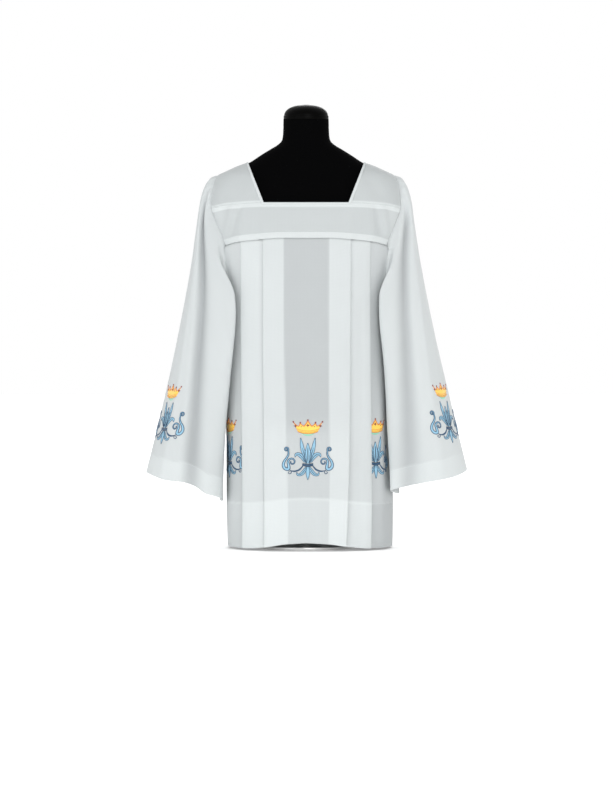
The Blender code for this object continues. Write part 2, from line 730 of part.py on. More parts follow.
def stand(parent):
    base = [
        (BASE_RADIUS - BASE_ROUNDING, 0.0),
        (BASE_RADIUS, BASE_ROUNDING),
        (BASE_RADIUS, BASE_HEIGHT - BASE_ROUNDING),
        (BASE_RADIUS - BASE_ROUNDING, BASE_HEIGHT),
    ]
    turned("stand_base", base, BASE_SIDES, "stand_metal", parent)
    top = FORM_RINGS[-1][0] - SEAM_GAP
    pole = [
        (POLE_RADIUS, BASE_HEIGHT + SEAM_GAP),
        (POLE_RADIUS, top - FLANGE_HEIGHT),
        (FLANGE_RADIUS, top - FLANGE_HEIGHT),
        (FLANGE_RADIUS, top),
    ]
    turned("stand_pole", pole, POLE_SIDES, "stand_metal", parent)


def main():
    for old in list(bpy.data.objects):
        bpy.data.objects.remove(old)
    garment = bpy.data.objects.new("surplice", None)
    form = bpy.data.objects.new("dress_form", None)
    for empty in (garment, form):
        bpy.context.scene.collection.objects.link(empty)
    for hand in (-1, 1):
        shoulder_strap(hand, garment)
        sleeve(hand, garment)
    for side in (-1, 1):
        yoke_band(side, garment)
        skirt(side, garment)
    neck_binding(garment)
    form_torso(form)
    neck_cap(form)
    stand(form)


main()
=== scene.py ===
"""The looks of a white square-necked surplice on a black dress form.

Metres, +Z up.  The garment's front faces -Y, and the side called right is +X.
Each sheet of cloth is a fine shell on the form that its solid has.
"""

import math

import bmesh
import bpy
import numpy as np
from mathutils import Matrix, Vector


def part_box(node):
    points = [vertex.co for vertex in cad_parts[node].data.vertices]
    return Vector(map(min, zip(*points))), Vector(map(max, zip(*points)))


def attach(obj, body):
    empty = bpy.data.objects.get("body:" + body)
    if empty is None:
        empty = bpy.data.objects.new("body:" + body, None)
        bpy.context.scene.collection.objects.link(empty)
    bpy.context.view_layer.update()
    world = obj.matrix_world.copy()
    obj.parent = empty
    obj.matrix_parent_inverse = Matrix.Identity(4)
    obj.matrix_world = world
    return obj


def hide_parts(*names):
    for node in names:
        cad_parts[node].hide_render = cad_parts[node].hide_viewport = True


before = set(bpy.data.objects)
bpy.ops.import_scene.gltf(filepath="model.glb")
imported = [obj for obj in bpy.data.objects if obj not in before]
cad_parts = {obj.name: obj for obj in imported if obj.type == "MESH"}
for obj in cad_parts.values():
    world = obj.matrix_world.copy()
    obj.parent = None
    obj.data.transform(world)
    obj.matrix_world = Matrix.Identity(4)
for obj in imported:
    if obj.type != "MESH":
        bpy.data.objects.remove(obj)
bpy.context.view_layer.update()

# ---------------------------------------------------------------- the garment's sizes

CLOTH = 0.0006  # the single cloth's thickness
YOKE_CLOTH = 0.0010  # the yoke's two layers together
SEAM_GAP = 0.0003  # what shows between two panels at a seam
SEAM_ROLL = 0.0022  # how wide a panel's edge is where it turns down into a seam
SEAM_SINK = 0.0004
SEAM_ALLOWANCE = 0.006  # how far a panel carries on behind the next one, past their seam
SQUARENESS = 2.4  # exponent of the body's rounded cross-section
QUARTER = math.pi / 2

NECKLINE_HALF, NECKLINE_TOP_HALF = 0.102, 0.140
NECKLINE_HEIGHT = 0.833
SHOULDER_NECK_HEIGHT, SHOULDER_TIP_HEIGHT = 0.929, 0.898
SHOULDER_TIP_HALF = 0.212
UNDERARM_HEIGHT = 0.600
BINDING_WIDTH, BINDING_THICKNESS, BINDING_WALL = 0.0042, 0.0014, 0.0003

GARMENT_COLUMNS = ("height", "half_width", "front", "back")
GARMENT_RINGS = (
    (0.929, 0.140, 0.072, 0.070),
    (0.914, 0.176, 0.079, 0.079),
    (0.898, 0.212, 0.086, 0.088),
    (0.878, 0.226, 0.093, 0.097),
    (0.853, 0.233, 0.100, 0.105),
    (0.819, 0.236, 0.109, 0.113),
    (0.783, 0.231, 0.117, 0.118),
    (0.743, 0.224, 0.125, 0.121),
    (0.693, 0.216, 0.132, 0.122),
    (0.643, 0.209, 0.135, 0.121),
    (0.600, 0.204, 0.136, 0.120),
    (0.493, 0.206, 0.138, 0.121),
    (0.293, 0.207, 0.141, 0.126),
    (0.123, 0.209, 0.146, 0.132),
    (0.000, 0.207, 0.149, 0.135),
)

FORM_COLUMNS = ("height", "half_width", "front", "back", "squareness", "set_back")
FORM_RINGS = (
    (1.034, 0.0545, 0.0540, 0.0540, 2.0, 0.004),
    (0.998, 0.0556, 0.0545, 0.0545, 2.0, 0.004),
    (0.983, 0.0580, 0.0560, 0.0560, 2.0, 0.003),
    (0.972, 0.0680, 0.0585, 0.0585, 2.1, 0.003),
    (0.963, 0.0830, 0.0605, 0.0600, 2.2, 0.002),
    (0.947, 0.1090, 0.0640, 0.0625, 2.3, 0.001),
    (0.929, 0.1365, 0.0685, 0.0665, 2.4, 0.000),
    (0.913, 0.1730, 0.0735, 0.0735, 2.4, 0.000),
    (0.898, 0.2030, 0.0790, 0.0810, 2.4, 0.000),
    (0.878, 0.2140, 0.0860, 0.0900, 2.4, 0.000),
    (0.853, 0.2170, 0.0930, 0.0980, 2.4, 0.000),
    (0.819, 0.2150, 0.1020, 0.1060, 2.4, 0.000),
    (0.783, 0.2090, 0.1090, 0.1110, 2.4, 0.000),
    (0.743, 0.2000, 0.1150, 0.1130, 2.4, 0.000),
    (0.693, 0.1890, 0.1190, 0.1110, 2.4, 0.000),
    (0.643, 0.1790, 0.1200, 0.1070, 2.3, 0.000),
    (0.600, 0.1710, 0.1180, 0.1020, 2.3, 0.000),
    (0.543, 0.1600, 0.1110, 0.0930, 2.2, 0.000),
    (0.473, 0.1500, 0.1040, 0.0870, 2.2, 0.000),
    (0.403, 0.1570, 0.1090, 0.0960, 2.2, 0.000),
    (0.333, 0.1670, 0.1150, 0.1080, 2.3, 0.000),
    (0.289, 0.1660, 0.1140, 0.1090, 2.3, 0.000),
    (0.283, 0.1610, 0.1090, 0.1040, 2.3, 0.000),
)
FORM_BOTTOM = FORM_RINGS[-1][0]

ARMHOLE = (  # height, share of the garment's half-width
    (0.898, 1.000),
    (0.878, 0.983),
    (0.853, 0.970),
    (0.819, 0.9625),
    (0.789, 0.938),
    (0.759, 0.912),
    (0.728, 0.896),
    (0.693, 0.898),
    (0.663, 0.905),
    (0.633, 0.925),
    (0.613, 0.958),
    (0.600, 1.000),
)

BAND_TOP_SEAM = ((0.000, 0.833), (0.102, 0.833), (0.184, 0.828), (0.227, 0.819))
BAND_LOW_SEAM = ((0.000, 0.749), (0.054, 0.749), (0.105, 0.7455), (0.158, 0.7395), (0.199, 0.728))
BAND_DIPS, BAND_DIP_WIDTH = (0.107, 0.158), 0.016

# Knife pleats, two on each side, that face away from the centre.
PLEAT_COLUMNS = ("fold_top", "fold_hem", "root_top", "root_hem")
PLEATS = {
    -1: ((0.1025, 0.1040, 0.053, 0.054), (0.156, 0.160, 0.108, 0.111)),
    +1: ((0.1060, 0.0885, 0.054, 0.042), (0.153, 0.145, 0.106, 0.097)),
}
PLEAT_BEND = 2.2  # a pleat leaves its line mostly near the hem
LAYER_TOP, LAYER_HEM = 0.0014, 0.0024
PLEAT_TOP_HEIGHT = 0.749
HEM = ((0.000, 0.021), (0.050, 0.018), (0.100, 0.0105), (0.150, 0.0060), (0.250, 0.0055))
HEM_DEPTH = 0.108  # the skirt's turned-up hem
CUFF_DEPTH = 0.046  # the sleeve's
TURN_UP_GAP = 0.0007  # from the cloth to its own turned-up hem behind it
SWAY, SWAY_REACH = 0.011, 0.2
SIDE_SPREAD_ANGLE, SIDE_SPREAD_FALL = math.radians(50), 0.5
SIDE_SETTLE, SIDE_LEVEL_FROM = 0.25, 0.4
SKIRT_SIDE_TOP = 0.728  # where the armhole's edge leaves the band

SLEEVE_COLUMNS = ("along", "outer_x", "outer_z", "inner_x", "inner_z", "front", "back")
SLEEVES = {
    -1: (
        (0.00, 0.212, 0.898, 0.203, 0.600, 0.072, 0.072),
        (0.03, 0.229, 0.890, 0.206, 0.589, 0.074, 0.074),
        (0.08, 0.247, 0.855, 0.208, 0.567, 0.078, 0.076),
        (0.16, 0.259, 0.793, 0.210, 0.534, 0.084, 0.080),
        (0.30, 0.276, 0.685, 0.212, 0.465, 0.090, 0.086),
        (0.50, 0.305, 0.531, 0.213, 0.361, 0.095, 0.093),
        (0.75, 0.342, 0.360, 0.211, 0.233, 0.099, 0.099),
        (1.00, 0.386, 0.183, 0.208, 0.115, 0.102, 0.104),
    ),
    +1: (
        (0.00, 0.212, 0.898, 0.203, 0.600, 0.072, 0.072),
        (0.03, 0.229, 0.890, 0.206, 0.589, 0.074, 0.074),
        (0.08, 0.246, 0.855, 0.208, 0.567, 0.078, 0.076),
        (0.16, 0.257, 0.793, 0.210, 0.534, 0.084, 0.080),
        (0.30, 0.276, 0.685, 0.214, 0.465, 0.090, 0.086),
        (0.50, 0.306, 0.535, 0.217, 0.365, 0.095, 0.093),
        (0.75, 0.346, 0.365, 0.217, 0.243, 0.099, 0.099),
        (1.00, 0.389, 0.190, 0.214, 0.133, 0.102, 0.104),
    ),
}
SLEEVE_SEAM_LIFT = 0.0011
SLEEVE_CLEARANCE, SLEEVE_LIFTS_OFF = 0.0060, 0.03
SLEEVE_FALLS = {  # height, distance from the centre of the fallen fold's edge
    -1: (
        (0.745, 0.203), (0.664, 0.188), (0.620, 0.180), (0.567, 0.175), (0.404, 0.187), (0.305, 0.197),
        (0.123, 0.212),
    ),
    +1: ((0.730, 0.205), (0.632, 0.185), (0.567, 0.182), (0.469, 0.189), (0.370, 0.195), (0.140, 0.204)),
}
FALL_TURN, FALL_SPREAD, FALL_PROUD, FALL_BEHIND = 2.15, 0.55, 0.028, 0.6
FALL_STARTS, FALL_FADES, FALL_FADE_LENGTH = 0.12, 0.3, 0.6
TROUGH_COLUMNS = ("along", "turn", "depth")
SLEEVE_TROUGHS = {
    -1: (
        ((0, 0.50, 0.0), (0.08, 1.02, 0.013), (0.3, 1.30, 0.018), (0.6, 1.46, 0.018), (1, 1.65, 0.019)),
        ((0, 5.40, 0.0), (0.10, 5.05, 0.005), (0.4, 4.75, 0.009), (0.7, 4.60, 0.011), (1, 4.45, 0.013)),
    ),
    +1: (
        ((0, 0.90, 0.0), (0.08, 1.25, 0.012), (0.3, 1.50, 0.015), (0.6, 1.68, 0.014), (1, 1.85, 0.014)),
        ((0, 5.20, 0.0), (0.10, 4.90, 0.004), (0.4, 4.55, 0.010), (0.7, 4.45, 0.012), (1, 4.40, 0.012)),
    ),
}
TROUGH_WIDTH = 0.17

# ---------------------------------------------------------------- the cloth's painted shade

TONE_OF_ONE_LAYER, TONE_SPAN = 0.354, 0.415  # painted shade: 0 is one layer over the form, painted grey where the black form shows through, and 1 is three layers, painted white
# Painted shade on the yoke: grey over the black form, lighter by the seams and towards the armhole.
SHOULDER_TONE, SHOULDER_SEAM_TONE, SHOULDER_ARMHOLE_TONE = -0.12, 0.75, 0.30
BAND_TONE, BAND_STRIPE_TONE, BAND_END_TONE = -0.02, 0.72, 0.30
BELOW_FORM_TONE = 0.50  # one layer, painted lighter where nothing dark is behind it
FIRST_PLEAT_TONES = (0.92, 1.15)  # painted lighter where the first pleats lie: over the form, and below it
# Painted light and shade on the second bay and pleats, lighter on the left than on the right.
SECOND_BAY_TONE, SECOND_PLEAT_TONES = 0.66, {-1: 1.04, +1: 0.88}
SIDE_TONES = {-1: (0.45, 0.60), +1: (0.28, 0.30)}  # beside the second pleat, and towards the side seam: painted shade, the left side lighter and the right side darker, in the right sleeve's shadow
HEM_TONE, SIDE_HEM_TONES, HEM_RIDGE_TONE = 0.42, {-1: 0.18, +1: -0.20}, 0.40  # added by the turned-up hem: painted lighter, the right side's hem painted darker as shadow, and a painted light line at the hem's top edge
# Painted light on the sleeves: the outer side and the lower sleeve lighter, the right outer side most.
SLEEVE_INNER_TONE, SLEEVE_OUTER_TONES, SLEEVE_FALL_TONE = 0.70, {-1: 0.80, +1: 0.96}, 0.10
SLEEVE_PAINTED_SHADE, HEAD_PAINTED_SHADE = {-1: -0.40, +1: -0.12}, -0.28  # the trough's painted shade, painted darker still near the head
# Painted lightening over the turned-up cuff, and the whitest that may be painted.
CUFF_TONE, WHITEST = 0.45, 1.25

# ---------------------------------------------------------------- the cloth's own creases

# Soft folds of the skirt: from a top point to a low point, how far they stand out (or sink), and their
# half-width, as top x, top z, low x, low z, height, width.  A low z below zero runs out through the hem.
SKIRT_FOLDS = {
    -1: (
        (-0.030, 0.560, -0.052, -0.30, 0.0012, 0.022),
        (0.046, 0.420, 0.030, -0.30, 0.0014, 0.018),
        (0.004, 0.330, -0.010, -0.30, -0.0012, 0.020),
        (-0.128, 0.640, -0.131, -0.20, -0.0011, 0.013),
        (0.134, 0.700, 0.123, -0.20, -0.0016, 0.011),
        (0.150, 0.640, 0.142, -0.20, 0.0010, 0.009),
        (0.176, 0.500, 0.181, -0.10, 0.0030, 0.010),
        (0.196, 0.440, 0.199, 0.060, -0.0050, 0.007),
        (-0.178, 0.470, -0.186, -0.10, 0.0026, 0.011),
        (-0.196, 0.400, -0.200, -0.10, -0.0032, 0.008),
    ),
    +1: (
        (-0.020, 0.600, -0.036, -0.30, 0.0014, 0.020),
        (0.035, 0.500, 0.049, -0.30, -0.0013, 0.018),
        (0.070, 0.380, 0.078, -0.30, 0.0012, 0.014),
        (-0.129, 0.660, -0.134, -0.20, -0.0013, 0.012),
        (0.131, 0.560, 0.127, -0.20, -0.0012, 0.013),
        (0.177, 0.480, 0.184, -0.10, 0.0030, 0.011),
        (-0.180, 0.520, -0.188, -0.10, 0.0028, 0.010),
        (-0.198, 0.380, -0.201, -0.10, -0.0030, 0.008),
    ),
}
FOLD_FADE = 0.16
PLEAT_OPENING = ((0.0034, 0.030), (0.0026, 0.024))  # each pleat's lift at the hem, and its reach

# Slanting strain creases at the ends of the yoke bands: as above.
BAND_CREASES = {
    -1: (
        (-0.158, 0.836, -0.184, 0.742, -0.0032, 0.0085),
        (-0.178, 0.832, -0.196, 0.752, 0.0020, 0.0070),
        (0.166, 0.836, 0.182, 0.742, -0.0034, 0.0090),
        (0.186, 0.832, 0.196, 0.752, 0.0020, 0.0070),
        (-0.060, 0.826, -0.052, 0.760, -0.0005, 0.0200),
        (0.030, 0.822, 0.022, 0.756, 0.0004, 0.0180),
    ),
    +1: (
        (-0.150, 0.836, -0.180, 0.742, -0.0014, 0.0085),
        (0.156, 0.836, 0.186, 0.742, -0.0016, 0.0080),
        (0.050, 0.826, 0.042, 0.760, -0.0005, 0.0200),
    ),
}
BAND_CREASE_FADE = 0.022
SEAM_STRIPE, SEAM_STRIPE_LIFT = 0.013, 0.0005  # seam allowances press through as a raised stripe

# Gathers in the sleeve head: where round the sleeve, how proud, how wide, and how far down they run.
GATHERS = {
    -1: (
        (-0.95, 0.0014, 0.09, 0.05),
        (-0.62, 0.0020, 0.10, 0.07),
        (-0.30, 0.0014, 0.09, 0.09),
        (0.02, 0.0010, 0.10, 0.10),
        (0.30, 0.0020, 0.08, 0.12),
        (0.55, 0.0022, 0.09, 0.08),
        (0.74, 0.0036, 0.06, 0.06),
        (0.92, 0.0026, 0.06, 0.05),
    ),
    +1: (
        (-0.88, 0.0015, 0.10, 0.06),
        (-0.55, 0.0022, 0.09, 0.08),
        (-0.22, 0.0013, 0.10, 0.10),
        (0.10, 0.0011, 0.09, 0.12),
        (0.38, 0.0020, 0.09, 0.09),
        (0.62, 0.0036, 0.06, 0.06),
        (0.82, 0.0028, 0.06, 0.05),
        (1.00, 0.0012, 0.08, 0.05),
    ),
}
# Slighter folds down the sleeve: turn at the head and at the cuff, where they start, height and width.
SLEEVE_CREASES = {
    -1: (
        (0.75, 0.95, 0.18, 0.0028, 0.13),
        (2.55, 2.75, 0.30, 0.0030, 0.14),
        (5.75, 5.55, 0.25, 0.0030, 0.16),
        (3.60, 3.75, 0.35, 0.0030, 0.18),
    ),
    +1: (
        (0.85, 1.25, 0.15, 0.0030, 0.15),
        (1.35, 1.72, 0.30, -0.0024, 0.12),
        (2.75, 2.80, 0.35, 0.0026, 0.14),
        (5.60, 5.50, 0.25, 0.0030, 0.16),
        (3.70, 3.60, 0.40, -0.0026, 0.16),
    ),
}
# The cuff's edge rises and dips as its folds turn: turn, rise.
CUFF_WAVES = {
    -1: (
        (0, 0.0), (1.0, 0.003), (1.52, 0.012), (1.70, 0.010), (1.92, -0.003), (2.6, -0.002), (3.2, 0.0),
        (4.4, 0.006), (6.29, 0.0),
    ),
    +1: ((0, 0.0), (0.8, -0.003), (1.6, 0.002), (2.25, -0.002), (3.1, 0.0), (4.4, 0.006), (6.29, 0.0)),
}

# ---------------------------------------------------------------- small tools


def mix(a, b, t):
    return a + (b - a) * t


def ease(t):
    t = np.clip(t, 0.0, 1.0)
    return t * t * (3 - 2 * t)


def bump(at, centre, width):
    return np.exp(-(((at - centre) / width) ** 2))


def curve(pairs, at):
    """A smooth curve through a table's points, level with its ends outside it."""
    knots, values = np.array(sorted(pairs), float).T
    steps = np.diff(knots)
    slopes = np.diff(values) / steps
    before, after = slopes[:-1], slopes[1:]
    same_way = before * after > 0
    total = np.where(same_way, before + after, 1.0)
    tangents = np.concatenate([slopes[:1], np.where(same_way, 2 * before * after / total, 0.0), slopes[-1:]])
    at = np.clip(at, knots[0], knots[-1])
    i = np.clip(np.searchsorted(knots, at, side="right") - 1, 0, len(steps) - 1)
    t = (at - knots[i]) / steps[i]
    return (
        (1 + 2 * t) * (1 - t) ** 2 * values[i]
        + t * (1 - t) ** 2 * steps[i] * tangents[i]
        + t * t * (3 - 2 * t) * values[i + 1]
        + t * t * (t - 1) * steps[i] * tangents[i + 1]
    )


def read(rows, names, name, at):
    """A named column of a table, read smoothly at a value of its first column."""
    place = names.index(name)
    return curve([(row[0], row[place]) for row in rows], at)


def unit(vectors):
    return vectors / np.maximum(np.linalg.norm(vectors, axis=-1, keepdims=True), 1e-12)


def stack(x, y, z):
    return np.stack(np.broadcast_arrays(x, y, z), axis=-1)


# ---------------------------------------------------------------- the body's surface


def sway(z):
    return SWAY * ease((UNDERARM_HEIGHT - z) / UNDERARM_HEIGHT)


def half_width(z):
    return read(GARMENT_RINGS, GARMENT_COLUMNS, "half_width", z)


def depth(z, side):
    """side is -1 at the front and +1 at the back."""
    return read(GARMENT_RINGS, GARMENT_COLUMNS, "front" if side < 0 else "back", z)


def on_body(x, z, side, inset=0.0):
    """The point of the garment's surface at x and z, set in from it by inset."""
    share = np.minimum(1.0, np.abs(x - sway(z)) / (half_width(z) - inset))
    rise = (1 - share**SQUARENESS) ** (1 / SQUARENESS)
    return stack(x, side * (depth(z, side) - inset) * rise, z)


def at_angle(angle, z, side, inset=0.0):
    """The point at this angle from the centre line: 0 is the centre, a quarter turn is the side."""
    power = 2 / SQUARENESS
    x = np.sign(angle) * np.abs(np.sin(angle)) ** power * (half_width(z) - inset)
    y = side * np.maximum(0.0, np.cos(angle)) ** power * (depth(z, side) - inset)
    return stack(x + sway(z), y, z)


def level(x, y, z, side):
    across = np.abs(x - sway(z)) / half_width(z)
    return across**SQUARENESS + (np.abs(y) / depth(z, side)) ** SQUARENESS


def outward(points, side):
    """The unit normals of the garment's surface near these points."""
    x, y, z = points[..., 0], points[..., 1], points[..., 2]
    step = 0.002
    slopes = [
        level(x + step, y, z, side) - level(x - step, y, z, side),
        level(x, y + step, z, side) - level(x, y - step, z, side),
        level(x, y, z + step, side) - level(x, y, z - step, side),
    ]
    return unit(stack(*slopes))


def clear_of_body(points, clearance):
    """The points, moved straight out from the body's axis where they would come too near the body."""
    x, y, z = points[..., 0], points[..., 1], points[..., 2]
    middle = sway(z)
    deep_here = np.where(y < 0, depth(z, -1), depth(z, 1))
    across = np.abs(x - middle) / (half_width(z) + clearance)
    deep = np.abs(y) / (deep_here + clearance)
    share = np.minimum(1.0, (across**SQUARENESS + deep**SQUARENESS) ** (1 / SQUARENESS))
    return stack(middle + (x - middle) / share, y / share, z)


def armhole_share(z):
    return curve(ARMHOLE, z)


def armhole_points(z, hand, side):
    share = armhole_share(z)
    rise = np.maximum(0.0, 1 - share**SQUARENESS) ** (1 / SQUARENESS)
    return stack(sway(z) + hand * share * half_width(z), side * depth(z, side) * rise, z)


def soft_folds(table, x, z, fade):
    """How far a table's folds move the cloth out at each x and z."""
    moved = np.zeros(np.broadcast(x, z).shape)
    for top_x, top_z, low_x, low_z, height, width in table:
        down = (top_z - z) / (top_z - low_z)
        middle = mix(top_x, low_x, down)
        shown = ease((top_z - z) / fade) * ease((z - low_z) / fade)
        moved = moved + height * bump(x, middle, width) * shown
    return moved


# ---------------------------------------------------------------- panels: grids of points


class Panel:
    """A piece of cloth as points down its length (rows) and across its width (columns).

    Its outer side faces down-the-rows crossed with along-the-columns.
    """

    def __init__(self, points, ring=False):
        self.points = points
        self.ring = ring
        columns = points.shape[1]
        closed = np.concatenate([points, points[:, :1]], axis=1) if ring else points
        if ring:
            wrapped = np.concatenate([points[:, -1:], closed], axis=1)
            across = (wrapped[:, 2:] - wrapped[:, :-2])[:, :columns]
        else:
            across = np.gradient(points, axis=1)
        self.normals = unit(np.cross(np.gradient(points, axis=0), across))
        steps = np.linalg.norm(np.diff(closed, axis=1), axis=-1)
        self.across = np.concatenate([np.zeros((len(points), 1)), np.cumsum(steps, axis=1)], axis=1)
        drops = np.linalg.norm(np.diff(closed, axis=0), axis=-1)
        self.down = np.concatenate([np.zeros((1, closed.shape[1])), np.cumsum(drops, axis=0)], axis=0)

    def sample(self, values, row, column):
        """The grid's values between its rows and columns."""
        rows, columns = values.shape[:2]
        row = np.clip(row, 0, rows - 1.000001)
        column = np.mod(column, columns) if self.ring else np.clip(column, 0, columns - 1.000001)
        r, c = row.astype(int), column.astype(int)
        s, t = (row - r)[..., None], (column - c)[..., None]
        following = (c + 1) % columns
        top = mix(values[r, c], values[r, following], t)
        low = mix(values[r + 1, c], values[r + 1, following], t)
        return mix(top, low, s)

    def lay(self, flat, anchor, lift):
        """Lays flat points (across, up, height) level on the cloth round an anchor (row, column)."""
        row0, column0 = int(anchor[0]), int(anchor[1])
        heights = self.points[..., 2:]
        count = np.arange(len(heights))
        wanted_z = heights[row0, column0, 0] + flat[:, 1]
        columns = np.full(len(flat), float(column0))
        for _ in range(2):
            lines = self.sample(heights, count[:, None], columns[None, :])[..., 0]
            rows = np.array([np.interp(-z, -line, count) for z, line in zip(wanted_z, lines.T)])
            near = self.across[rows.astype(int)]
            wanted = near[:, column0] + flat[:, 0]
            if self.ring:
                wanted = np.mod(wanted, near[:, -1])
            columns = np.array([np.interp(w, line, np.arange(len(line))) for w, line in zip(wanted, near)])
        points = self.sample(self.points, rows, columns)
        normals = unit(self.sample(self.normals, rows, columns))
        return points + normals * (lift + flat[:, 2:3])


def with_turned_hem(panel, hem_depth, steps):
    """The panel's points, carried on round its lower edge and up behind it."""
    points, normals = panel.points, panel.normals
    down = unit(points[-1] - points[-2])
    radius = TURN_UP_GAP / 2
    rows = [points]
    for turn in (math.pi / 4, math.pi / 2, 3 * math.pi / 4):
        around = normals[-1] * (math.cos(turn) - 1) * radius + down * math.sin(turn) * radius
        rows.append((points[-1] + around)[None])
    length = panel.down[-1, : points.shape[1]]
    columns = np.arange(points.shape[1], dtype=float)
    for k in range(steps + 1):
        up = hem_depth * k / steps
        at_row = np.array(
            [np.interp(length[c] - up, panel.down[:, c], np.arange(len(points))) for c in range(len(columns))]
        )
        behind = panel.sample(points, at_row, columns) - panel.sample(normals, at_row, columns) * TURN_UP_GAP
        rows.append(behind[None])
    return np.concatenate(rows)


def with_allowance(points, normals, behind, along=None):
    """The points with two more rows before the first: in behind it, then on past the seam."""
    onward = unit(points[0] - points[1]) if along is None else along
    tucked = points[0] - normals[0] * behind
    return np.concatenate([(tucked + onward * SEAM_ALLOWANCE)[None], tucked[None], points])


def placed(name, data):
    """A new object in the scene."""
    made = bpy.data.objects.new(name, data)
    bpy.context.scene.collection.objects.link(made)
    return made


def as_piece(mesh, finish):
    """A smooth piece made from a mesh, under the mesh's own name."""
    mesh.shade_smooth()
    mesh.materials.append(finish)
    return placed(mesh.name, mesh)


def shell(name, points, thickness, finish, painted_shade, ring=False):
    """A sheet of cloth over a grid of points, with its threads' directions as a UV map in metres, and its
    painted shade as a point attribute.
    """
    rows, columns = points.shape[:2]
    panel = Panel(points, ring)
    width = columns if ring else columns - 1
    r, c = (k.ravel() for k in np.meshgrid(np.arange(rows - 1), np.arange(width), indexing="ij"))
    following = (c + 1) % columns
    above, below = r * columns, (r + 1) * columns
    corners = np.stack([above + c, below + c, below + following, above + following], axis=1)
    mesh = bpy.data.meshes.new(name)
    mesh.from_pydata(points.reshape(-1, 3).tolist(), [], corners.tolist())
    middle = panel.across[:, panel.across.shape[1] // 2][:, None]
    u, v = panel.across - middle, -panel.down
    uv = np.stack([u, v], axis=-1)
    threads = np.stack([uv[r, c], uv[r + 1, c], uv[r + 1, c + 1], uv[r, c + 1]], axis=1)
    mesh.uv_layers.new(name="threads").data.foreach_set("uv", threads.astype(np.float32).ravel())
    # The painted shade: grey where the black form shows through one layer, and painted light and shade from
    # the studio light.
    shade = mesh.attributes.new("painted_shade", "FLOAT", "POINT")
    seen = np.clip(TONE_OF_ONE_LAYER + TONE_SPAN * painted_shade, 0.0, 1.0)
    shade.data.foreach_set("value", seen.astype(np.float32).ravel())
    made = as_piece(mesh, finish)
    wall = made.modifiers.new("wall", "SOLIDIFY")
    wall.thickness = thickness
    wall.offset = 0
    apply_modifiers(made)
    return made


def apply_modifiers(piece):
    bpy.ops.object.select_all(action="DESELECT")
    bpy.context.view_layer.objects.active = piece
    piece.select_set(True)
    for modifier in list(piece.modifiers):
        bpy.ops.object.modifier_apply(modifier=modifier.name)
    piece.select_set(False)


# ---------------------------------------------------------------- shoulders, bands and binding

YOKE_BEHIND, SKIRT_BEHIND, SLEEVE_BEHIND = 0.0014, 0.0011, 0.0014
STRAP_ROWS, STRAP_COLUMNS = 44, 56
BAND_ROWS, BAND_COLUMNS = 40, 190
SHOULDER_FULLNESS, SHOULDER_DRAG = 0.0010, 0.0008  # how far the cloth swells and ripples there


def crossing(passed, low, high):
    """For each row of heights, where passed turns true on the way up."""
    low, high = np.array(low, float), np.array(high, float)
    for _ in range(32):
        middle = (low + high) / 2
        yes = passed(middle)
        high = np.where(yes, middle, high)
        low = np.where(yes, low, middle)
    return high


def neckline_x(z):
    down = (SHOULDER_NECK_HEIGHT - z) / (SHOULDER_NECK_HEIGHT - NECKLINE_HEIGHT)
    return mix(NECKLINE_TOP_HALF, NECKLINE_HALF, down)


def armhole_x(z):
    return armhole_points(z, 1, -1)[..., 0] - sway(z)


def strap_edge(edge_x, ridge, w, side):
    """Distance from the centre of a shoulder's end edge: w is 0 on the ridge and 1 on the yoke's seam."""
    seam = curve(BAND_TOP_SEAM, edge_x(NECKLINE_HEIGHT))
    reach = np.abs(on_body(edge_x(seam), seam, side)[..., 1]) * np.sin(w * QUARTER)
    low = np.full(w.shape, float(seam))
    heights = crossing(lambda z: np.abs(on_body(edge_x(z), z, side)[..., 1]) <= reach, low, low * 0 + ridge)
    return edge_x(heights)


def strap_points(u, w, side, gap):
    """Points of the shoulder: u runs from the neckline to the armhole, w from the ridge to the seam."""
    u, w = np.broadcast_arrays(u, w)
    ends = []
    for edge_x, ridge in ((neckline_x, SHOULDER_NECK_HEIGHT), (armhole_x, SHOULDER_TIP_HEIGHT)):
        ends.append([strap_edge(edge_x, ridge, k, side) for k in (w, np.ones(w.shape))])
    x = mix(ends[0][0], ends[1][0], u)
    seam_x = mix(ends[0][1], ends[1][1], u)
    seam = curve(BAND_TOP_SEAM, seam_x) + gap
    reach = np.abs(on_body(seam_x, seam, side)[..., 1]) * np.sin(w * QUARTER)
    z = crossing(lambda h: level(x, reach, h, side) >= 1, seam, seam * 0 + SHOULDER_NECK_HEIGHT)
    points = stack(x, side * reach, z)
    return np.where((w >= 1)[..., None], on_body(seam_x, seam, side), points)


def rolled_edge(distance):
    """How deep a panel's edge sinks, at this distance from its seam."""
    return SEAM_SINK * (1 - ease(distance / SEAM_ROLL)) ** 2


def denser_to(ends, count):
    """Shares from 0 to 1 that crowd towards the chosen ends."""
    t = np.linspace(0, 1, count)
    crowded = 0.5 - 0.5 * np.cos(np.pi * t) if ends == "both" else np.sin(t * QUARTER)
    return mix(t, crowded, 0.75)


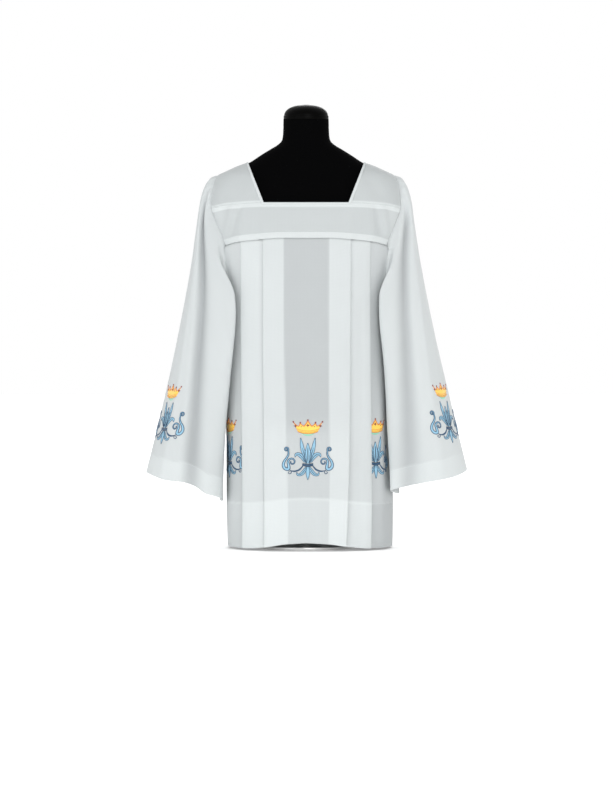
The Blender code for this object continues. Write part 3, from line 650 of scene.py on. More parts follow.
def shoulder_piece(hand, finish):
    """One shoulder, from the front band over the ridge to the back band."""
    half = denser_to("far", STRAP_ROWS)
    u = denser_to("both", STRAP_COLUMNS)[None, :]
    front = strap_points(u, half[::-1][:, None], -1, SEAM_GAP / 2)
    back = strap_points(u, half[1:][:, None], 1, SEAM_GAP / 2)
    points = np.concatenate([front, back])
    side = np.where(np.arange(len(points)) < len(front), -1, 1)[:, None]
    normals = np.where((side < 0)[..., None], outward(points, -1), outward(points, 1))
    panel = Panel(points)
    from_band = np.minimum(panel.down, panel.down[-1:] - panel.down)
    from_arm = panel.across[:, -1:] - panel.across
    sunk = rolled_edge(from_band) + rolled_edge(from_arm)
    fullness = SHOULDER_FULLNESS * np.sin(np.pi * u) * ease(from_band / 0.05)
    drag = SHOULDER_DRAG * np.sin(points[..., 0] * 95 + points[..., 2] * 60)
    drag = drag * ease(from_arm / 0.02) * ease(from_band / 0.03)
    points = points + normals * (fullness + drag - sunk)[..., None]
    # Painted shade: the shoulder painted grey over the black form, lighter along the band seams and towards
    # the armhole.
    painted_shade = SHOULDER_TONE + SHOULDER_SEAM_TONE * (1 - ease((from_band - 0.004) / 0.003))
    painted_shade = painted_shade + SHOULDER_ARMHOLE_TONE * (1 - ease(from_arm / 0.016))
    points[..., 0] *= hand
    normals = normals * (hand, 1, 1)
    if hand > 0:
        points, painted_shade, normals = points[::-1, :], painted_shade[::-1, :], normals[::-1, :]
    both = with_allowance(points, normals, YOKE_BEHIND)[::-1]
    both = with_allowance(both, normals[::-1], YOKE_BEHIND)[::-1]
    painted_shades = np.concatenate([painted_shade[:1], painted_shade[:1], painted_shade, painted_shade[-1:], painted_shade[-1:]])
    name = "left_shoulder_piece" if hand < 0 else "right_shoulder_piece"
    return Panel(points), shell(name, both, YOKE_CLOTH, finish, painted_shades)


def band_inset(x, v):
    steps = sum(ease((np.abs(x) - dip) / BAND_DIP_WIDTH) for dip in BAND_DIPS)
    return 2 * LAYER_TOP * steps * v * v


def yoke_band(side, finish):
    """The band across the chest or the back, between the yoke's two seams."""
    v = denser_to("both", BAND_ROWS)[:, None]
    share = np.linspace(-1, 1, BAND_COLUMNS)[None, :] * side * -1
    top = curve(BAND_TOP_SEAM, np.abs(share) * BAND_TOP_SEAM[-1][0]) - SEAM_GAP / 2
    low = curve(BAND_LOW_SEAM, np.abs(share) * BAND_LOW_SEAM[-1][0]) + SEAM_GAP / 2
    z = mix(top, low, v)
    x = share * np.abs(armhole_points(z, 1, side)[..., 0])
    points = on_body(x, z, side, band_inset(x, v))
    normals = outward(points, side)
    from_top, from_low = top - z, z - low
    from_arm = (1 - np.abs(share)) * BAND_TOP_SEAM[-1][0]
    stripe = 1 - ease((np.minimum(from_low, from_top + 0.004) - SEAM_STRIPE) / 0.0015)
    lift = soft_folds(BAND_CREASES[side], x, z, BAND_CREASE_FADE) + SEAM_STRIPE_LIFT * stripe
    sunk = rolled_edge(from_top) + rolled_edge(from_low) + rolled_edge(from_arm)
    points = points + normals * (lift - sunk)[..., None]
    # Painted shade: the band painted grey over the black form, with lighter stripes by its seams and lighter
    # towards its ends.
    white = np.maximum(1 - ease((from_low - SEAM_STRIPE) / 0.002), 1 - ease((from_top - 0.009) / 0.002))
    painted_shade = BAND_TONE + BAND_STRIPE_TONE * white + BAND_END_TONE * ease((np.abs(x) - 0.184) / 0.025)
    name = "front_yoke_band" if side < 0 else "back_yoke_band"
    return Panel(points), shell(name, points, YOKE_CLOTH, finish, painted_shade)


def neckline_ring(width, lift):
    """The binding's line round the neckline, this far out from its edge and this far off the yoke."""
    u = np.array([width / (SHOULDER_TIP_HALF - NECKLINE_TOP_HALF)])[None, :]
    w = np.sin(np.linspace(0, 1, 36) * QUARTER)[:, None]
    low_x = np.linspace(NECKLINE_HALF + width, 0, 40)
    corner_z = NECKLINE_HEIGHT - width
    halves = []
    for side in (-1, 1):
        down = strap_points(u, w[:-1], side, 0.0)[:, 0]
        low = on_body(low_x, np.full(low_x.shape, corner_z), side)
        half = np.concatenate([down, low])
        halves.append(half + outward(half, side) * lift)
    right = np.concatenate([halves[1][::-1], halves[0][1:]])
    left = right[-2:0:-1] * (-1, 1, 1)
    return np.concatenate([right, left])


def neck_binding(finish):
    """A strip rolled round the neckline's edge: it stands up a little from the yoke."""
    rows = []
    middle, base = BINDING_WIDTH / 2 - 0.0006, YOKE_CLOTH * 0.5
    for turn in np.linspace(-0.25 * math.pi, 1.65 * math.pi, 13):
        width = middle - BINDING_WIDTH / 2 * math.cos(turn)
        lift = base + BINDING_THICKNESS / 2 + BINDING_THICKNESS / 2 * math.sin(turn)
        rows.append(neckline_ring(width, lift))
    points = np.stack(rows)
    return shell("neckline_binding", points, BINDING_WALL, finish, np.ones(points.shape[:2]), ring=True)


def recalculate(mesh):
    work = bmesh.new()
    work.from_mesh(mesh)
    bmesh.ops.recalc_face_normals(work, faces=work.faces)
    work.to_mesh(mesh)
    work.free()


def along_threads(mesh):
    """A plain UV map in metres, for a small piece."""
    co = np.empty(len(mesh.vertices) * 3, np.float32)
    mesh.vertices.foreach_get("co", co)
    index = np.empty(len(mesh.loops), np.int32)
    mesh.loops.foreach_get("vertex_index", index)
    flat = co.reshape(-1, 3)[index][:, [0, 2]]
    mesh.uv_layers.new(name="threads").data.foreach_set("uv", flat.ravel())


# ---------------------------------------------------------------- the skirt

SKIRT_ROWS = 132
RUNS = (  # from the centre out: each run's two ends, and how many columns it has
    (("centre", 0), ("fold", 0), 24),
    (("fold", 0), ("root", 0), 8),
    (("root", 0), ("fold", 1), 22),
    (("fold", 1), ("root", 1), 8),
    (("root", 1), ("armhole", 0), 18),
)
TURN_STEPS = 4  # columns round each fold
SIDE_COLUMNS = 22


def layer_gap(z):
    return mix(LAYER_HEM, LAYER_TOP, np.minimum(1.0, z / PLEAT_TOP_HEIGHT))


def pleat_at(hand, number, name, z):
    row = PLEATS[hand][number]
    top, hem = (row[PLEAT_COLUMNS.index(name + end)] for end in ("_top", "_hem"))
    return mix(hem, top, 1 - (1 - np.clip(z / PLEAT_TOP_HEIGHT, 0.0, 1.0)) ** PLEAT_BEND)


def side_spread(z):
    return ease((SKIRT_SIDE_TOP - z) / SIDE_SPREAD_FALL)


def armhole_angle(z):
    return np.arcsin(np.minimum(1.0, armhole_share(z)) ** (SQUARENESS / 2))


def place_x(hand, place, z):
    kind, number = place
    if kind == "centre":
        return z * 0
    if kind == "armhole":
        angle = mix(armhole_angle(SKIRT_SIDE_TOP), SIDE_SPREAD_ANGLE, side_spread(z))
        return np.abs(at_angle(angle, z, -1, (len(RUNS) - 1) * layer_gap(z))[..., 0] - sway(z))
    return pleat_at(hand, number, kind, z)


def run_column(hand, start, end, t, layer, down):
    """One column of the skirt's front or back: its points, and how far they are set in."""
    seam = np.array([PLEAT_TOP_HEIGHT, 0.0])
    top_x, hem_x = mix(place_x(hand, start, seam), place_x(hand, end, seam), t)
    top = curve(BAND_LOW_SEAM, top_x) - SEAM_GAP / 2
    z = mix(top, curve(HEM, hem_x), down)
    x = mix(place_x(hand, start, z), place_x(hand, end, z), t)
    inset = layer * layer_gap(z)
    if end[0] == "armhole":
        towards_side = ease((t - SIDE_LEVEL_FROM) / (1 - SIDE_LEVEL_FROM))
        inset = inset * (1 - towards_side * (1 - ease(down / SIDE_SETTLE)))
    return hand * x + sway(z) * x / SWAY_REACH, z, inset


def turn_column(hand, number, kind, angle, layer, down):
    """A column round a pleat's fold or root, part of the way from one layer to the next."""
    top = curve(BAND_LOW_SEAM, pleat_at(hand, number, kind, PLEAT_TOP_HEIGHT)) - SEAM_GAP / 2
    z = mix(top, curve(HEM, pleat_at(hand, number, kind, 0.0)), down)
    way = 1 if kind == "fold" else -1
    gap = layer_gap(z)
    x = pleat_at(hand, number, kind, z) + way * gap / 2 * math.sin(angle)
    return hand * x + sway(z) * x / SWAY_REACH, z, gap * (layer + (1 - math.cos(angle)) / 2)


def pleat_lift(hand, x, z, layer):
    """How far the pleats above and at this layer stand off, most at their folds and at the hem."""
    lift = 0.0
    for number, (height, reach) in enumerate(PLEAT_OPENING):
        if layer <= 2 * number + 1:
            fold = pleat_at(hand, number, "fold", z)
            lift = lift + height * bump(np.abs(x - sway(z)), fold, reach) * (1 - z / PLEAT_TOP_HEIGHT) ** 1.5
    return lift


def half_skirt(hand, side, down):
    """The columns from the centre to one side seam, as points and tones."""
    columns, painted_shades = [], []

    def add(x, z, inset, layer, points=None):
        points = on_body(x, z, side, inset) if points is None else points
        lift = soft_folds(SKIRT_FOLDS[side], x, z, FOLD_FADE) + pleat_lift(hand, x, z, layer)
        seam = rolled_edge(points[0, 2] - points[:, 2]) * (1 if layer in (0, 2) else 0.4)
        columns.append(points + outward(points, side) * (lift - seam)[:, None])
        painted_shades.append(skirt_painted_shade(hand, np.abs(x - sway(z)), z, layer, points[-1, 2]))

    for layer, (start, end, count) in enumerate(RUNS):
        for k in range(count + 1):
            if layer == 0 and k == 0:
                continue
            add(*run_column(hand, start, end, k / count, layer, down), layer)
        if end[0] != "armhole":
            for k in range(1, TURN_STEPS):
                angle = math.pi * k / TURN_STEPS
                add(*turn_column(hand, end[1], end[0], angle, layer, down), layer + k / TURN_STEPS)
    for k in range(1, SIDE_COLUMNS + 1):
        t = k / SIDE_COLUMNS
        top = mix(SKIRT_SIDE_TOP, UNDERARM_HEIGHT, t)
        z = mix(top, curve(HEM, half_width(0.0)), down)
        inset = (len(RUNS) - 1) * layer_gap(z) * ease(down / SIDE_SETTLE)
        angle = mix(armhole_angle(top), mix(SIDE_SPREAD_ANGLE, QUARTER, t), side_spread(z))
        points = at_angle(hand * angle, z, side, inset)
        add(points[:, 0], z, inset, len(RUNS) - 1, points)
    return columns, painted_shades


def skirt_painted_shade(hand, x, z, layer, hem_z):
    """The cloth's painted shade: one layer over the black form is painted grey, folded layers are painted
    white, the sides are painted lighter or darker as the light falls, and the hem is painted lighter.
    """
    below_form = 1 - ease((z - FORM_BOTTOM + 0.035) / 0.09)
    root = pleat_at(hand, 0, "root", z)
    fold, outer = (pleat_at(hand, number, "fold", z) for number in (0, 1))
    if layer <= 1:
        pleated = mix(*FIRST_PLEAT_TONES, below_form)
        painted_shade = mix(BELOW_FORM_TONE * below_form, pleated, ease((x - root + 0.002) / 0.004))
    elif layer <= 3:
        painted_shade = mix(SECOND_BAY_TONE, SECOND_PLEAT_TONES[hand], ease((x - fold - 0.004) / 0.006))
    else:
        painted_shade = mix(*SIDE_TONES[hand], ease((x - outer) / 0.03)) + 0.08 * below_form
    # Painted lightening over the turned-up hem, painted shadow on the right side's hem, and a painted light
    # line along the hem's top edge.
    hem = 1 - ease((z - hem_z - HEM_DEPTH) / 0.0025)
    turned_up = painted_shade + (HEM_TONE if layer <= 3 else SIDE_HEM_TONES[hand])
    return mix(painted_shade, turned_up, hem) + HEM_RIDGE_TONE * bump(z - hem_z, HEM_DEPTH - 0.0012, 0.0022)


def skirt(side, finish):
    """The pleated panel under the band, with its hem turned up inside."""
    down = np.linspace(0, 1, SKIRT_ROWS)
    halves = {hand: half_skirt(hand, side, down) for hand in (-1, 1)}
    z = mix(BAND_LOW_SEAM[0][1] - SEAM_GAP / 2, HEM[0][1], down)
    centre = on_body(z * 0, z, side)
    lift = soft_folds(SKIRT_FOLDS[side], z * 0, z, FOLD_FADE) - rolled_edge(z[0] - z)
    centre = centre + outward(centre, side) * lift[:, None]
    columns = halves[-1][0][::-1] + [centre] + halves[1][0]
    painted_shades = halves[-1][1][::-1] + [skirt_painted_shade(1, z * 0, z, 0, HEM[0][1])] + halves[1][1]
    points, painted_shade = np.stack(columns, axis=1), np.stack(painted_shades, axis=1)
    if side > 0:
        points, painted_shade = points[:, ::-1], painted_shade[:, ::-1]
    panel = Panel(points)
    hemmed = with_turned_hem(panel, HEM_DEPTH, 12)
    extra = np.broadcast_to(painted_shade[-1], (len(hemmed) - len(painted_shade), painted_shade.shape[1]))
    hemmed = with_allowance(hemmed, outward(points, side), SKIRT_BEHIND, np.array((0.0, 0.0, 1.0)))
    for row in hemmed[:2]:
        behind_band = on_body(row[:, 0], row[:, 2], side, band_inset(row[:, 0], 1.0) + SKIRT_BEHIND)
        row[:, 1] = side * np.minimum(side * row[:, 1], side * behind_band[:, 1])
    name = "front_skirt" if side < 0 else "back_skirt"
    return panel, shell(name, hemmed, CLOTH, finish, np.concatenate([painted_shade[:1], painted_shade[:1], painted_shade, extra]))


# ---------------------------------------------------------------- the sleeves

SLEEVE_ROWS, SLEEVE_AROUND = 132, 156
ARMHOLE_MIDDLE = (SHOULDER_TIP_HEIGHT + UNDERARM_HEIGHT) / 2
ARMHOLE_REACH = SHOULDER_TIP_HEIGHT - ARMHOLE_MIDDLE


def plain_sleeve(hand, v, turn):
    rows = SLEEVES[hand]

    def size(name):
        return read(rows, SLEEVE_COLUMNS, name, v)

    share = (1 + np.cos(turn)) / 2
    x = mix(size("inner_x"), size("outer_x"), share)
    z = mix(size("inner_z"), size("outer_z"), share)
    deep = np.sin(turn)
    return x, -deep * np.where(deep > 0, size("front"), size("back")), z


def fallen_fold(hand, v, turn):
    """How far the slack moves the cloth in towards the body, and how far out to the front or the back."""
    in_front = turn < math.pi
    edge_turn = np.where(in_front, FALL_TURN, 2 * math.pi - FALL_TURN)
    edge_x, _, edge_z = plain_sleeve(hand, v, edge_turn)
    reach = np.maximum(0.0, edge_x - curve(SLEEVE_FALLS[hand], edge_z))
    share = bump(turn, edge_turn, FALL_SPREAD) * ease(v / FALL_STARTS) * np.where(in_front, 1, FALL_BEHIND)
    return reach * share, FALL_PROUD * share * (1 - ease((v - FALL_FADES) / FALL_FADE_LENGTH))


def trough_depth(hand, v, turn):
    total = 0.0
    for rows in SLEEVE_TROUGHS[hand]:
        middle = read(rows, TROUGH_COLUMNS, "turn", v)
        total = total + read(rows, TROUGH_COLUMNS, "depth", v) * bump(turn, middle, TROUGH_WIDTH)
    return total


def front_trough(hand, v, turn):
    """How near each point is to the bottom of the trough in front, where its shade is painted: 1 there, and 0
    beside it.
    """
    rows = SLEEVE_TROUGHS[hand][0]
    middle = read(rows, TROUGH_COLUMNS, "turn", v)
    return bump(turn, middle, TROUGH_WIDTH * 0.8) * ease((v - 0.02) / 0.06)


def round_about(turn, middle):
    """The turn, counted from a middle either way round."""
    return np.mod(turn - middle + math.pi, 2 * math.pi) - math.pi


def small_folds(hand, v, turn):
    """The head's gathers and the slighter folds down the sleeve, out from its surface."""
    moved = np.zeros(np.broadcast(v, turn).shape)
    for middle, height, width, reach in GATHERS[hand]:
        away = round_about(turn, middle)
        spread = width * (1 + 4 * v)
        moved = moved + height * bump(away, 0, spread) * ease(v / 0.012) * (1 - ease(v / reach))
    for top, low, start, height, width in SLEEVE_CREASES[hand]:
        away = round_about(turn, mix(top, low, v))
        moved = moved + height * bump(away, 0, width) * ease((v - start) / 0.3)
    return moved


def sleeve(hand, finish):
    """One wide sleeve: gathered at its head, open at its cuff, with the cuff's hem turned up inside."""
    v = np.linspace(0, 1, SLEEVE_ROWS)[:, None] ** 1.12
    turn = (np.arange(SLEEVE_AROUND) * 2 * math.pi / SLEEVE_AROUND + math.pi)[None, :] % (2 * math.pi)
    seam_z = ARMHOLE_MIDDLE + ARMHOLE_REACH * np.cos(turn)
    in_front = (turn <= math.pi)[..., None]
    seams = np.where(in_front, armhole_points(seam_z, hand, -1), armhole_points(seam_z, hand, 1))
    off = np.where(in_front, outward(seams, -1), outward(seams, 1))
    seams[..., 0] += hand * SEAM_GAP
    lifted = seams + off * mix(YOKE_CLOTH * 0.5, SLEEVE_SEAM_LIFT, ease(v / 0.03))[..., None]
    start_x, start_y, start_z = plain_sleeve(hand, 0.0 * v, turn)
    x, y, z = plain_sleeve(hand, v, turn)
    inward, proud = fallen_fold(hand, v, turn)
    trough = trough_depth(hand, v, turn)
    fade = (1 - v) ** 3
    side = np.where(turn <= math.pi, -1, 1)
    x = x + (hand * lifted[..., 0] - start_x) * fade - inward - trough * np.cos(turn)
    y = y + (lifted[..., 1] - start_y) * fade + side * (proud - trough * np.abs(np.sin(turn)))
    z = z + (lifted[..., 2] - start_z) * fade + curve(CUFF_WAVES[hand], turn) * ease((v - 0.55) / 0.45)
    points = clear_of_body(stack(hand * x, y, z), SLEEVE_CLEARANCE * np.minimum(1.0, v / SLEEVE_LIFTS_OFF))
    if hand > 0:
        points = points[:, ::-1]
        turn = turn[:, ::-1]
    panel = Panel(points, ring=True)
    panel = Panel(points + panel.normals * small_folds(hand, v, turn)[..., None], ring=True)
    hemmed = with_turned_hem(panel, CUFF_DEPTH, 8)
    inside = off[:, ::-1] if hand > 0 else off
    hemmed = with_allowance(hemmed, inside, SLEEVE_BEHIND, np.array((-hand * 0.6, 0.0, 0.0)))
    from_cuff = panel.down[-1:, :-1] - panel.down[:, :-1]
    # Painted light and shade: the outer side and the lower sleeve painted lighter, the front trough painted
    # dark as its own shade, darkest near the head, and the turned-up cuff painted lighter.
    painted_light = mix(SLEEVE_INNER_TONE, SLEEVE_OUTER_TONES[hand], (1 + np.cos(turn)) / 2)
    painted_light = painted_light + SLEEVE_FALL_TONE * ease(v / 0.5)
    dark = SLEEVE_PAINTED_SHADE[hand] + HEAD_PAINTED_SHADE * (1 - ease((v - 0.12) / 0.22))
    shaded = mix(painted_light, dark, np.minimum(1.0, front_trough(hand, v, turn)))
    turned_up = 1 - ease((from_cuff - CUFF_DEPTH) / 0.0025)
    painted_shade = mix(shaded, np.minimum(WHITEST, shaded + CUFF_TONE), turned_up)
    painted_shade = np.concatenate([painted_shade[:1], painted_shade[:1], painted_shade, np.ones((len(hemmed) - len(painted_shade) - 2, painted_shade.shape[1]))])
    name = "left_sleeve" if hand < 0 else "right_sleeve"
    return panel, shell(name, hemmed, CLOTH, finish, painted_shade, ring=True)


# ---------------------------------------------------------------- topstitching

STITCH_PITCH, STITCH_LENGTH, STITCH_HALF = 0.0030, 0.0023, 0.00022
STITCH_TAPER = ((0.0, 0.0), (0.22, 1.0), (0.78, 1.0), (1.0, 0.0))


def stitches(name, lines, thickness, finish):
    """Rows of topstitches: each line is a panel with the rows and columns that it runs through."""
    points, faces = [], []
    for panel, rows, columns in lines:
        line = panel.sample(panel.points, rows, columns)
        normal = unit(panel.sample(panel.normals, rows, columns))
        steps = np.linalg.norm(np.diff(line, axis=0), axis=1)
        length = np.concatenate([[0], np.cumsum(steps)])
        for k in range(int(length[-1] / STITCH_PITCH)):
            start = (k + 0.12) * STITCH_PITCH
            ends = [
                np.array([np.interp(s, length, values[:, axis]) for axis in range(3)])
                for values in (line, normal)
                for s in (start, start + STITCH_LENGTH)
            ]
            first, last, up = ends[0], ends[1], unit(ends[2] + ends[3])
            across = unit(np.cross(last - first, up))
            lift = up * (thickness / 2 + STITCH_HALF * 0.5)
            base = len(points)
            points.append(first + lift - up * STITCH_HALF)
            for share, full in STITCH_TAPER[1:3]:
                middle = mix(first, last, share) + lift
                for a, b in ((1, 0), (0, 1), (-1, 0), (0, -1)):
                    points.append(middle + (across * a + up * b) * STITCH_HALF * full)
            points.append(last + lift - up * STITCH_HALF)
            for c in range(4):
                d = (c + 1) % 4
                faces.append((base, base + 1 + d, base + 1 + c))
                faces.append((base + 1 + c, base + 1 + d, base + 5 + d, base + 5 + c))
                faces.append((base + 9, base + 5 + c, base + 5 + d))
    mesh = bpy.data.meshes.new(name)
    mesh.from_pydata([tuple(p) for p in points], [], faces)
    mesh.attributes.new("painted_shade", "FLOAT", "POINT").data.foreach_set("value", np.ones(len(points), np.float32))
    along_threads(mesh)
    recalculate(mesh)
    return as_piece(mesh, finish)


def level_line(panel, from_end, low=True):
    """A line across a panel, this far up from its lower edge or down from its upper one."""
    count = panel.points.shape[1]
    columns = np.arange(count + 1 if panel.ring else count, dtype=float)
    rows = []
    for c in columns.astype(int):
        down = panel.down[:, c]
        rows.append(np.interp(down[-1] - from_end if low else from_end, down, np.arange(len(down))))
    return panel, np.array(rows), columns


# ---------------------------------------------------------------- the embroidery, drawn flat in millimetres

LIGHT_BLUE, MID_BLUE, DARK_BLUE = (0.27, 0.50, 0.66), (0.018, 0.070, 0.145), (0.006, 0.022, 0.055)
YELLOW, ORANGE, RED = (0.97, 0.62, 0.095), (0.72, 0.22, 0.035), (0.22, 0.020, 0.016)
MINT = (0.27, 0.63, 0.46)
CROWN_RAISED = 105  # the crown's lower edge above the lily's foot


def smooth_line(points, step=1.1):
    """A smooth curve through given points, cut into even steps."""
    p = np.array(points, float)
    p = np.concatenate([[2 * p[0] - p[1]], p, [2 * p[-1] - p[-2]]])
    t = np.linspace(0, 1, 24)[:-1, None]
    parts = []
    for a, b, c, d in zip(p, p[1:], p[2:], p[3:]):
        bend, twist = 2 * a - 5 * b + 4 * c - d, 3 * b - 3 * c + d - a
        parts.append(0.5 * (2 * b + (c - a) * t + bend * t**2 + twist * t**3))
    line = np.concatenate(parts + [p[-2][None]])
    length = np.concatenate([[0], np.cumsum(np.linalg.norm(np.diff(line, axis=0), axis=1))])
    even = np.linspace(0, length[-1], max(3, int(length[-1] / step) + 1))
    return np.stack([np.interp(even, length, line[:, k]) for k in (0, 1)], axis=1)


def spiral(middle, start_radius, end_radius, start_angle, turns, count=26):
    """Points of a spiral that winds in, or out, about its middle."""
    share = np.linspace(0, 1, count)
    radius = mix(start_radius, end_radius, share**0.85)
    angle = start_angle + share * turns * 2 * math.pi
    return np.stack([middle[0] + radius * np.cos(angle), middle[1] + radius * np.sin(angle)], axis=1)


def sideways(line):
    """The flat direction square to a line, at each of its points."""
    along = unit(np.gradient(line, axis=0))
    return np.stack([-along[:, 1], along[:, 0]], axis=1)


class Needlework:
    """Thread shapes gathered into one mesh: flat points with a height, faces, colours and UVs."""

    SECTION = (
        (1.0, -0.25), (0.86, 0.45), (0.45, 0.92), (0.0, 1.0), (-0.45, 0.92), (-0.86, 0.45), (-1.0, -0.25),
    )
    CORD = ((1.0, -0.3), (0.75, 0.75), (0.0, 1.1), (-0.75, 0.75), (-1.0, -0.3))

    def __init__(self):
        self.points, self.faces, self.colours, self.threads = [], [], [], []

    def stroke(self, line, half_widths, height, colour, section=None, base=0.0):
        """A satin-stitched band along a line, arched across."""
        section = self.SECTION if section is None else section
        line = np.asarray(line, float)
        across = sideways(line)
        length = np.concatenate([[0], np.cumsum(np.linalg.norm(np.diff(line, axis=0), axis=1))])
        half = np.interp(length / length[-1], np.linspace(0, 1, len(half_widths)), half_widths)
        tall = height * np.clip(half / (0.35 * max(half_widths) + 1e-9), 0.25, 1.0)
        start, size = len(self.points), len(section)
        for centre, side, wide, rise, far in zip(line, across, half, tall, length):
            for a, b in section:
                spot = centre + side * wide * a
                self.points.append((spot[0], spot[1], base + rise * b))
                self.colours.append(colour)
                self.threads.append((far, wide * a))
        for r in range(len(line) - 1):
            for c in range(size):
                d = (c + 1) % size
                one, two = start + r * size, start + (r + 1) * size
                self.faces.append((one + c, one + d, two + d, two + c))
        self.faces.append(tuple(start + c for c in reversed(range(size))))
        self.faces.append(tuple(start + (len(line) - 1) * size + c for c in range(size)))

    def cord(self, line, half, colour, taper=True, base=0.0, height=None):
        """A thin raised outline."""
        widths = (half * 0.45, half, half, half, half * 0.45) if taper else (half, half)
        self.stroke(line, widths, height or half * 1.25, colour, self.CORD, base)

    def petal(self, line, half_widths, colour, rim, height=0.85):
        """A filled petal with a raised dark rim down both of its edges."""
        line = smooth_line(line)
        self.stroke(line, half_widths, height, colour)
        share = np.linspace(0, 1, len(line))
        half = np.interp(share, np.linspace(0, 1, len(half_widths)), half_widths)[:, None]
        for way in (-1, 1):
            self.cord(line + sideways(line) * half * way, 0.62, rim, taper=False, height=1.0)

    def patch(self, columns, rows, place, height, colour):
        """A filled shape over a small grid; place gives its flat point at two shares."""
        start = len(self.points)
        for r in range(rows + 1):
            for c in range(columns + 1):
                s, t = c / columns, r / rows
                x, y = place(s, t)
                edge = min(1.0, 6 * min(s, 1 - s, t * 1.3, (1 - t) * 1.3) + 0.02)
                self.points.append((x, y, height * math.sqrt(max(0.0, edge * (2 - edge))) - 0.12))
                self.colours.append(colour(s, t))
                self.threads.append((x, y))
        wide = columns + 1
        size = wide * (rows + 1)
        for k in range(size):
            x, y, _ = self.points[start + k]
            self.points.append((x, y, -0.25))
            self.colours.append(self.colours[start + k])
            self.threads.append(self.threads[start + k])
        for r in range(rows):
            for c in range(columns):
                a = start + r * wide + c
                quad = (a, a + 1, a + 1 + wide, a + wide)
                self.faces.append(quad)
                self.faces.append(tuple(k + size for k in reversed(quad)))
        rim = [start + c for c in range(wide)]
        rim += [start + r * wide + columns for r in range(1, rows + 1)]
        rim += [start + rows * wide + c for c in range(columns - 1, -1, -1)]
        rim += [start + r * wide for r in range(rows - 1, 0, -1)]
        for a, b in zip(rim, rim[1:] + rim[:1]):
            self.faces.append((b, a, a + size, b + size))

    def seed(self, middle, wide, tall, height, colour, corners):
        """A little domed knot of thread, round or pointed."""
        start = len(self.points)
        for ring, (share, rise) in enumerate(((1.0, -0.2), (0.8, 0.6), (0.4, 0.95))):
            for c in range(corners):
                turn = 2 * math.pi * c / corners
                x, y = math.cos(turn) * wide * share, math.sin(turn) * tall * share
                self.points.append((middle[0] + x, middle[1] + y, height * rise + 0.55))
                self.colours.append(colour)
                self.threads.append((x, y))
            if ring:
                for c in range(corners):
                    d = (c + 1) % corners
                    low, high = start + (ring - 1) * corners, start + ring * corners
                    self.faces.append((low + c, low + d, high + d, high + c))
        self.faces.append(tuple(start + 2 * corners + c for c in range(corners)))
        self.faces.append(tuple(start + c for c in reversed(range(corners))))

    def lay_on(self, name, panel, anchor, lift, finish):
        """The needlework as a piece, laid on a panel round an anchor point."""
        flat = np.array(self.points) / 1000
        mesh = bpy.data.meshes.new(name)
        mesh.from_pydata(panel.lay(flat, anchor, lift).tolist(), [], self.faces)
        thread = mesh.attributes.new("thread", "FLOAT_COLOR", "POINT")
        colours = np.concatenate([np.array(self.colours), np.ones((len(self.colours), 1))], axis=1)
        thread.data.foreach_set("color", colours.astype(np.float32).ravel())
        index = np.empty(len(mesh.loops), np.int32)
        mesh.loops.foreach_get("vertex_index", index)
        threads = (np.array(self.threads) / 1000)[index]
        mesh.uv_layers.new(name="threads").data.foreach_set("uv", threads.astype(np.float32).ravel())
        recalculate(mesh)
        return as_piece(mesh, finish)


def mirrored(points):
    return [(-x, y) for x, y in points]


# A scroll's half-width along its length, and how far from its middle its dark edges run.
SCROLL_HALF = (1.0, 1.1, 1.7, 3.1, 3.3, 2.2, 1.4, 1.2, 1.0)
SCROLL_EDGE = (0.9, 1.0, 1.6, 3.0, 3.2, 2.1, 1.3, 1.1, 0.9)


